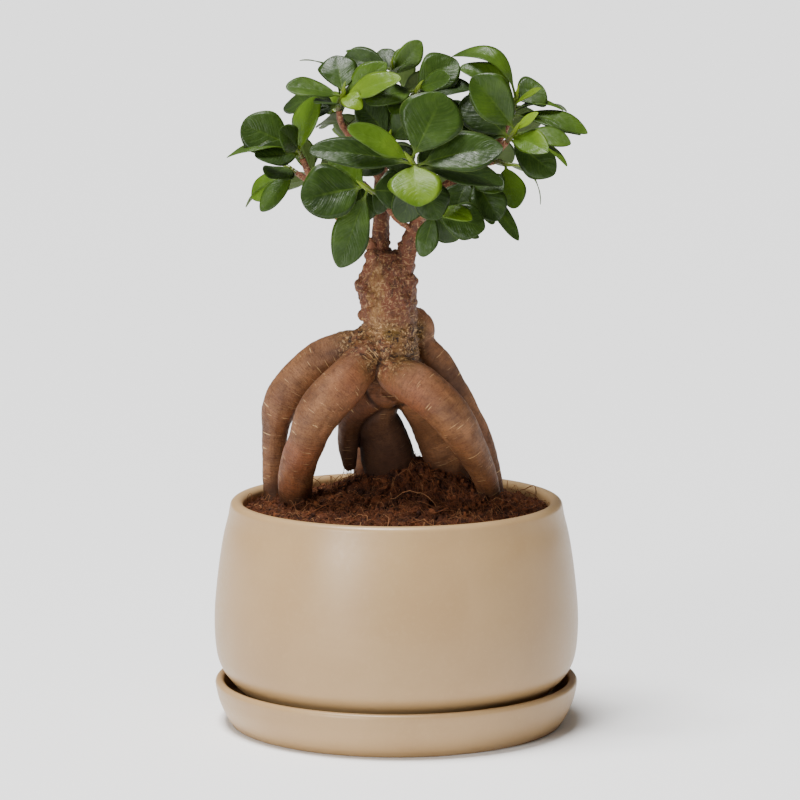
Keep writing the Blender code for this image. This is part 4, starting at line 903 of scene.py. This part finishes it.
ruledShoots = {  # round the back: a spiral rule sets the leaves
    "shoot_back_left": {"twig": [(-28, -7.8, 251.3, 1.7), (-33, 4, 257, 1.6), (-38, 15, 264, 1.5)],
                        "apex": (-42, 25, 270), "count": 6, "length": 28, "turn": 64},
    "shoot_back": {"twig": [(-1.5, 30, 261.2, 1.8), (-6, 38, 268, 1.6), (-11, 44, 276, 1.5)],
                   "apex": (-14, 53, 281), "count": 7, "length": 32, "turn": 130},
    "shoot_back_low": {"twig": [(-0.2, 33.4, 263.6, 1.8), (6, 42, 265, 1.6), (12, 49, 266, 1.5)],
                       "apex": (20, 56, 264), "count": 6, "length": 31, "turn": 250},
    "shoot_right_back": {"twig": [(27.5, -8.2, 269.2, 1.8), (34, 6, 274, 1.7), (39, 18, 280, 1.6),
                                  (42, 28, 285, 1.5)],
                         "apex": (42, 41, 289), "count": 7, "length": 33, "turn": 310},
    "shoot_top_back": {"twig": [(-4.6, 5.6, 292, 1.9), (-2, 14, 299, 1.7), (1, 22, 304, 1.5)],
                       "apex": (3, 29, 310), "count": 6, "length": 32, "turn": 0},
    "shoot_upper_back_left": {"twig": [(-7.4, 7.8, 270, 2.0), (-14, 13, 279, 1.8), (-21, 17, 290, 1.6)],
                              "apex": (-29, 21, 299), "count": 6, "length": 25, "turn": 90},
}
arms = {
    "leftArm": [(-9, 0, 230, 3.4), (-13.5, -1, 238, 2.6), (-20, -4, 245, 2.0), (-28.5, -8, 251.7, 1.8),
                (-36, -10, 260, 1.8), (-41.3, -12, 269, 1.9)],
    "rearArm": [(-6.8, 4, 240, 3.6), (-6, 14, 249, 2.8), (-3, 25, 258, 2.3), (0, 34, 264, 2.0)],
    "rightArm": [(13.4, -12, 257.4, 2.5), (16.0, -14, 261.6, 2.2), (20, -13, 265, 2.0), (28, -8, 269.5, 1.9),
                 (38, -6, 275, 1.8), (45, -8, 278.6, 1.8)],
}
allShoots = {**shoots, **ruledShoots}
leafRules = {"stations": 28, "across": 13, "petiole": 0.72, "petioleShare": (0.05, 0.20),
             "blunt": (0.80, 0.53), "widest": 1.25, "base": 0.07, "thick": 0.30, "stalkThick": 1.25,
             "rib": 0.34, "ribWidth": 0.085, "groove": 0.12, "wave": 0.06, "uneven": 0.06, "twist": 0.10,
             "fold": 0.14, "bow": 0.035, "cup": (-0.16, 0.08), "blunter": (-0.06, 0.16), "waves": (1.1, 2.0),
             "ripple": (0.4, 1.5), "spacing": 1.4, "gap": 0.3, "bud": 8.0, "knot": 0.10,
             "seed": 7, "looksSeed": 23}
spiral = {"lean": (34, 52), "size": (0.62, 0.38), "droop": (0.12, 0.16), "place": (1.0, -0.55),
          "arch": (0.05, 0.04), "tone": (0.75, -0.55)}  # the youngest leaf's value, and what age adds
leafColours = {"tones": [(0.0, (0.0085, 0.0190, 0.0032)), (0.35, (0.024, 0.051, 0.0050)),
                         (0.65, (0.056, 0.108, 0.0060)), (1.0, (0.135, 0.215, 0.008))],
               "vein": (0.10, 0.16, 0.02), "rib": (0.110, 0.180, 0.020), "rim": (0.150, 0.210, 0.040),
               "stalk": (0.100, 0.150, 0.010), "back": (0.085, 0.120, 0.030),
               "stem": [(0.35, (0.060, 0.036, 0.012)), (0.60, (0.070, 0.092, 0.008)),
                        (0.95, (0.170, 0.250, 0.008))]}
leafPattern = {"clouds": 62, "veinSlant": 0.62, "veins": 30.0, "rib": (0.030, 0.012), "rim": (0.482, 0.498),
               "stalk": (0.20, 0.08)}


def spiralLeaves(foot, apex, count, longest, turn, chance):
    # the golden angle round the stem; everything else is a young leaf's value plus a share of its age
    growth = unit(unit(apex - foot) + np.array([0, 0, 0.25]))
    across = unit(np.cross(growth, [0, 0, 1]))
    over = np.cross(across, growth)
    found = []
    for i in range(count):
        now = {key: young + added * i / (count - 1) for key, (young, added) in spiral.items()}
        angle = math.radians(turn) + i * math.radians(137.5)
        lean = math.radians(now["lean"] + chance.uniform(-6, 6))
        length = longest * now["size"] * chance.uniform(0.92, 1.06)
        way = math.cos(lean) * growth + math.sin(lean) * (math.cos(angle) * over + math.sin(angle) * across)
        way[2] -= now["droop"]
        width = length * chance.uniform(0.52, 0.62)
        found.append((now["place"], unit(way) * length, width, growth, now["arch"], now["tone"]))
    return found


def leafSkin(root, reach, width, face, arch, fold, tone, looks):
    # the middle line is a parabola over the way to the tip; each section is a flat loop round it, folded
    # along the midrib, waved at its margins, thick at the stalk and thin in the blade
    rules = leafRules
    t = 0.5 - 0.5 * np.cos(math.pi * np.linspace(0, 0.968, rules["stations"]))
    length = np.linalg.norm(reach)
    along = reach / length
    up = unit(face - face @ along * along)
    side = np.cross(along, up)
    blade = ease(t, *rules["petioleShare"])
    u = np.clip((t - rules["base"]) / (1 - rules["base"]), 0, 1)
    atStalk, atTip = rules["blunt"]
    blunt = atStalk + (atTip + looks.uniform(*rules["blunter"]) - atStalk) * u
    widest = rules["widest"] + looks.uniform(-0.12, 0.12)
    half = width / 2 * np.sin(math.pi * u**widest) ** blunt * blade + rules["petiole"] * (1 - blade)
    thick = rules["stalkThick"] * (1 - blade) + (rules["thick"] - 0.12 * t) * blade
    steps = np.linspace(-1, 1, rules["across"])
    v = np.sign(steps) * np.abs(steps) ** 1.35
    v = np.concatenate([v, v[::-1][1:-1]])
    layer = np.concatenate([np.full(rules["across"], 1.0), np.full(rules["across"] - 2, -1.0)])
    layer[[0, rules["across"] - 1]] = 0
    rise = 4 * arch * length
    bow = looks.uniform(-rules["bow"], rules["bow"]) * length
    arc = t * (1 - t)
    middle = root + reach * t[:, None] + up * (rise * arc)[:, None] + side * (bow * arc)[:, None]
    tangent = unit(reach + up * (rise * (1 - 2 * t))[:, None])
    normal = unit(up - np.sum(up * tangent, axis=1)[:, None] * tangent)
    twist = (looks.uniform(-1, 1) * rules["twist"] * ease(t, 0.2, 1.0))[:, None]
    out = np.cos(twist) * side + np.sin(twist) * normal
    normal = np.cross(out, tangent)
    phase, waves = looks.uniform(0, 6.3), looks.uniform(*rules["waves"])
    cup = looks.uniform(*rules["cup"])
    ripple = rules["wave"] * looks.uniform(*rules["ripple"]) * np.sin(phase + 2 * math.pi * waves * t)
    v2 = (v**2)[None, :]
    lift = half[:, None] * (fold * (np.sqrt(v2 + 0.010) - 0.10) * blade[:, None]
                            + (cup + ripple[:, None] * np.sign(v)[None]) * v2 * blade[:, None])
    rounded = np.sqrt(1 - np.abs(v)[None, :] ** (2 + 6 * blade[:, None]))
    lift = lift + layer * 0.5 * thick[:, None] * rounded
    near = np.exp(-(v[None, :] / rules["ribWidth"]) ** 2) * (blade * (1 - 0.8 * t))[:, None]
    lift = lift - near * np.where(layer < 0, rules["rib"], np.where(layer > 0, rules["groove"], 0))
    uneven = rules["uneven"] * np.sin(looks.uniform(0, 6.3) + 7.5 * t)[:, None]
    uneven = 1 + uneven * np.sign(v) * blade[:, None]
    grid = middle[:, None] + out[:, None] * (half[:, None] * v * uneven)[..., None]
    grid = grid + normal[:, None] * lift[..., None]
    part = skin(grid)
    shape = grid.shape[:2]
    place = (np.broadcast_to(t[:, None], shape), np.broadcast_to(v / 2 + 0.5, shape))
    part["uv"] = np.stack([ends(values) for values in place], -1)
    tone = min(1, max(0, tone + looks.uniform(-0.05, 0.05)))
    part["values"] = {"tone": np.full(len(part["points"]), tone),
                      "under": ends(np.broadcast_to(np.where(layer < 0, 1.0, 0.0), shape))}
    return part


def stemSkin(foot, before, apex):
    # a green stem with a faint swelling at each leaf, ending in a slim pointed bud that leans a little
    rules = leafRules
    startWay, endWay = unit(foot - before), unit(apex - foot)
    start = foot + startWay * rules["gap"]
    tip = apex + endWay * rules["bud"]
    lean = np.cross(endWay, [0.3, 0.5, 0.1]) * 0.8
    line = [(*(start - startWay * 1.5), 1.2), (*(start + startWay * 2), 1.3), (*apex, 1.25),
            (*(apex + endWay * rules["bud"] * 0.28 + lean * 0.3), 1.05),
            (*(apex + endWay * rules["bud"] * 0.65 + lean), 0.62), (*(tip + lean * 0.8), 0.10)]
    grid, path = tube(line, 12, 7)
    grown = distanceAlong(path[:, :3])
    knot = np.cos(2 * math.pi * grown / rules["spacing"] / 1.5) * (grown < grown[-1] - rules["bud"])
    grid = swollen(grid, path, (1 + rules["knot"] * knot)[:, None, None])
    part = skin(grid)
    shape = grid.shape[:2]
    fresh = np.broadcast_to(ease(grown, 0, grown[-1])[:, None], shape)
    part["uv"] = np.stack([ends(fresh), np.full(len(part["points"]), 0.3)], -1)
    part["values"] = {"tone": ends(0.45 + 0.5 * fresh), "under": np.zeros(len(part["points"]))}
    part["slot"] = 1
    return part, start, endWay


def leafMaterial():
    # waxy green by tone, clouded; pale midrib, fine slanting side veins and a light rim; greyer underneath
    made, tree, shader = newMaterial("leafBlade")
    tone, under = read(tree, "tone"), read(tree, "under")
    blade = addNode("UVMap", {}, tree, uv_map="bladeMap").outputs["UV"]
    spot = addNode("SeparateXYZ", {"Vector": blade}).outputs
    off = calculate("ABSOLUTE", calculate("SUBTRACT", spot["Y"], 0.5))
    cloud = noise(onPiece(tree), leafPattern["clouds"], 3, 0.55)
    slant = calculate("SUBTRACT", spot["X"], times(off, leafPattern["veinSlant"]))
    streak = addNode("CombineXYZ", {"X": times(slant, leafPattern["veins"]), "Y": times(spot["Y"], 3.0),
                                    "Z": times(tone, 9.0)}).outputs["Vector"]
    veins = span(noise(streak, 1.0, 2, 0.6), 0.42, 0.68)
    rib = times(span(off, *leafPattern["rib"]), span(spot["X"], 0.25, 0.85, 0.22, 0.02))
    # the tone is partly each leaf's age and partly painted light and shade set leaf by leaf; the clouds vary it
    # at random
    young = calculate("ADD", tone, span(cloud, 0.3, 0.7, -0.14, 0.14))
    green = ramp(young, leafColours["tones"])
    green = paint(green, [(times(veins, 0.10), leafColours["vein"]), (rib, leafColours["rib"]),
                          (span(off, *leafPattern["rim"], 0, 0.45), leafColours["rim"]),
                          (times(span(spot["X"], *leafPattern["stalk"]), 0.6), leafColours["stalk"])])
    back = paint(green, [(0.55, leafColours["back"])])
    relief = calculate("SUBTRACT", times(veins, -1.0), times(rib, 0.8))
    dull = calculate("ADD", span(cloud, 0.3, 0.7, 0.30, 0.44), times(under, 0.25))
    connect(shader, paint(green, [(under, back)]),
            emboss((relief, 0.35, 0.22), (cloud, 0.65, 2.6)), dull)
    shader.inputs["Specular IOR Level"].default_value = 0.22
    return made


def greenStemMaterial():  # green-brown below, fresh yellow-green towards the bud
    made, tree, shader = newMaterial("greenStem")
    cloud = noise(onPiece(tree), 500, 3, 0.6)
    tone = calculate("ADD", read(tree, "tone"), span(cloud, 0.3, 0.7, -0.1, 0.1))
    connect(shader, ramp(tone, leafColours["stem"]), emboss((cloud, 0.3, 0.25)))
    shader.inputs["Roughness"].default_value = 0.38
    return made


leafBlade = leafMaterial()
greenStem = greenStemMaterial()
looks = random.Random(leafRules["looksSeed"])
chance = random.Random(leafRules["seed"])
for name, shoot in allShoots.items():
    before, foot = (np.array(point[:3], float) for point in shoot["twig"][-2:])
    apex = np.array(shoot["apex"], float)
    stem, start, endWay = stemSkin(foot, before, apex)
    leaves = shoot.get("leaves")
    if leaves is None:
        leaves = spiralLeaves(foot, apex, shoot["count"], shoot["length"], shoot["turn"], chance)
    parts = [stem]
    stretch = apex - start
    height = np.linalg.norm(stretch) + leafRules["spacing"]
    for at, reach, width, face, arch, *fold, tone in sorted(leaves, key=lambda row: -row[0]):
        tip = start + stretch * at + np.array(reach, float)
        height = min(at * np.linalg.norm(stretch), height - leafRules["spacing"])
        root = start + endWay * max(height, 1.9)
        fold = fold[0] if fold else leafRules["fold"]
        parts.append(leafSkin(root, tip - root, width, np.array(face, float), arch, fold, tone, looks))
    placeParts("leafy_" + name, parts, [leafBlade, greenStem], name)
print("shoots set:", len(allShoots))


# Arms and twigs: thin red-brown wood with leaf scars

twigRules = {"sides": 14, "perSpan": 9, "scarEvery": 5.2, "scar": 0.11, "rough": 0.05}


def woodyTube(line, seed):
    # a tube whose radius swells at every leaf scar and wanders a little with noise
    grid, path = tube(line, twigRules["sides"], twigRules["perSpan"])
    grown = distanceAlong(path[:, :3])
    beat = (grown / twigRules["scarEvery"]) % 1
    swell = 1 + twigRules["scar"] * np.exp(-((beat - 0.5) / 0.13) ** 2)
    rough = 1 + twigRules["rough"] * layeredNoise(grid.reshape(-1, 3), 2.2, seed, 2).reshape(grid.shape[:2])
    part = skin(swollen(grid, path, (swell[:, None] * rough)[..., None]))
    part["along"] = unbend(part["points"], [line])[0] + np.array([90.0 * seed, 0, 0])
    return part


twigColours = {"dark": (0.070, 0.022, 0.011), "light": (0.190, 0.066, 0.030), "tan": (0.22, 0.09, 0.045),
               "stripe": (0.22, 0.09, 0.045)}
twigBark = barkMaterial("twigBark", rootBark, twigColours)
twigLines = [*arms.values(), *(shoot["twig"] for shoot in allShoots.values())]
twigTubes = [woodyTube(line, number) for number, line in enumerate(twigLines)]
placeParts("twigs", twigTubes, [twigBark])
print("twigs set:", len(twigLines))


# Floor, camera and lights

view = {"place": (0.0018, -1.900, 0.4398), "pitch": 0.146, "lens": 175.8, "target": (0.0, 0.0, 0.17)}
lights = {"panel": 6.6, "panelTurn": (3, -9), "panelSpread": 20,  # degrees
          "key": 27, "keySize": 0.6, "keyPlace": (-1.05, -1.50, 0.66), "world": 0.17}
ground = {"half": 30, "white": 0.93, "roughness": 0.9}


def softbox(name, place, size, watts):  # a square area light, turned by two angles so that it faces the plant
    data = bpy.data.lights.new(name, "AREA")
    data.size = size
    data.energy = watts
    lamp = addObject(name, data)
    away = np.array(place) - np.array(view["target"])
    turn = math.atan2(away[0], -away[1])
    fall = math.acos(away[2] / np.linalg.norm(away))
    lamp.location = place
    lamp.rotation_euler = (fall, 0, turn)


half = ground["half"]
floorMesh = bpy.data.meshes.new("floor")
square = [(-half, -half, 0), (half, -half, 0), (half, half, 0), (-half, half, 0)]
floorMesh.from_pydata(square, [], [(0, 1, 2, 3)])
floor = addObject("floor", floorMesh)
paper, _, paperShader = newMaterial("paleFloor")
paperShader.inputs["Base Color"].default_value = (*[ground["white"]] * 3, 1)
paperShader.inputs["Roughness"].default_value = ground["roughness"]
floorMesh.materials.append(paper)

panel = bpy.data.lights.new("panel", "SUN")  # a wide even panel overhead
panel.energy = lights["panel"]
panel.angle = math.radians(lights["panelSpread"])
panelLamp = addObject("panel", panel)
panelLamp.rotation_euler = (*(math.radians(angle) for angle in lights["panelTurn"]), 0)
softbox("keyLight", lights["keyPlace"], lights["keySize"], lights["key"])

world = bpy.data.worlds.new("studio")
world.use_nodes = True
background = world.node_tree.nodes["Background"].inputs
background["Color"].default_value = (1, 1, 1, 1)
background["Strength"].default_value = lights["world"]
bpy.context.scene.world = world

cameraData = bpy.data.cameras.new("camera")
cameraData.lens = view["lens"]
cameraData.sensor_width = 36
cameraData.clip_end = 30
camera = addObject("camera", cameraData)
camera.location = view["place"]
camera.rotation_euler = (math.pi / 2 - view["pitch"], 0, 0)
bpy.context.scene.camera = camera
print("floor, lights and camera placed")
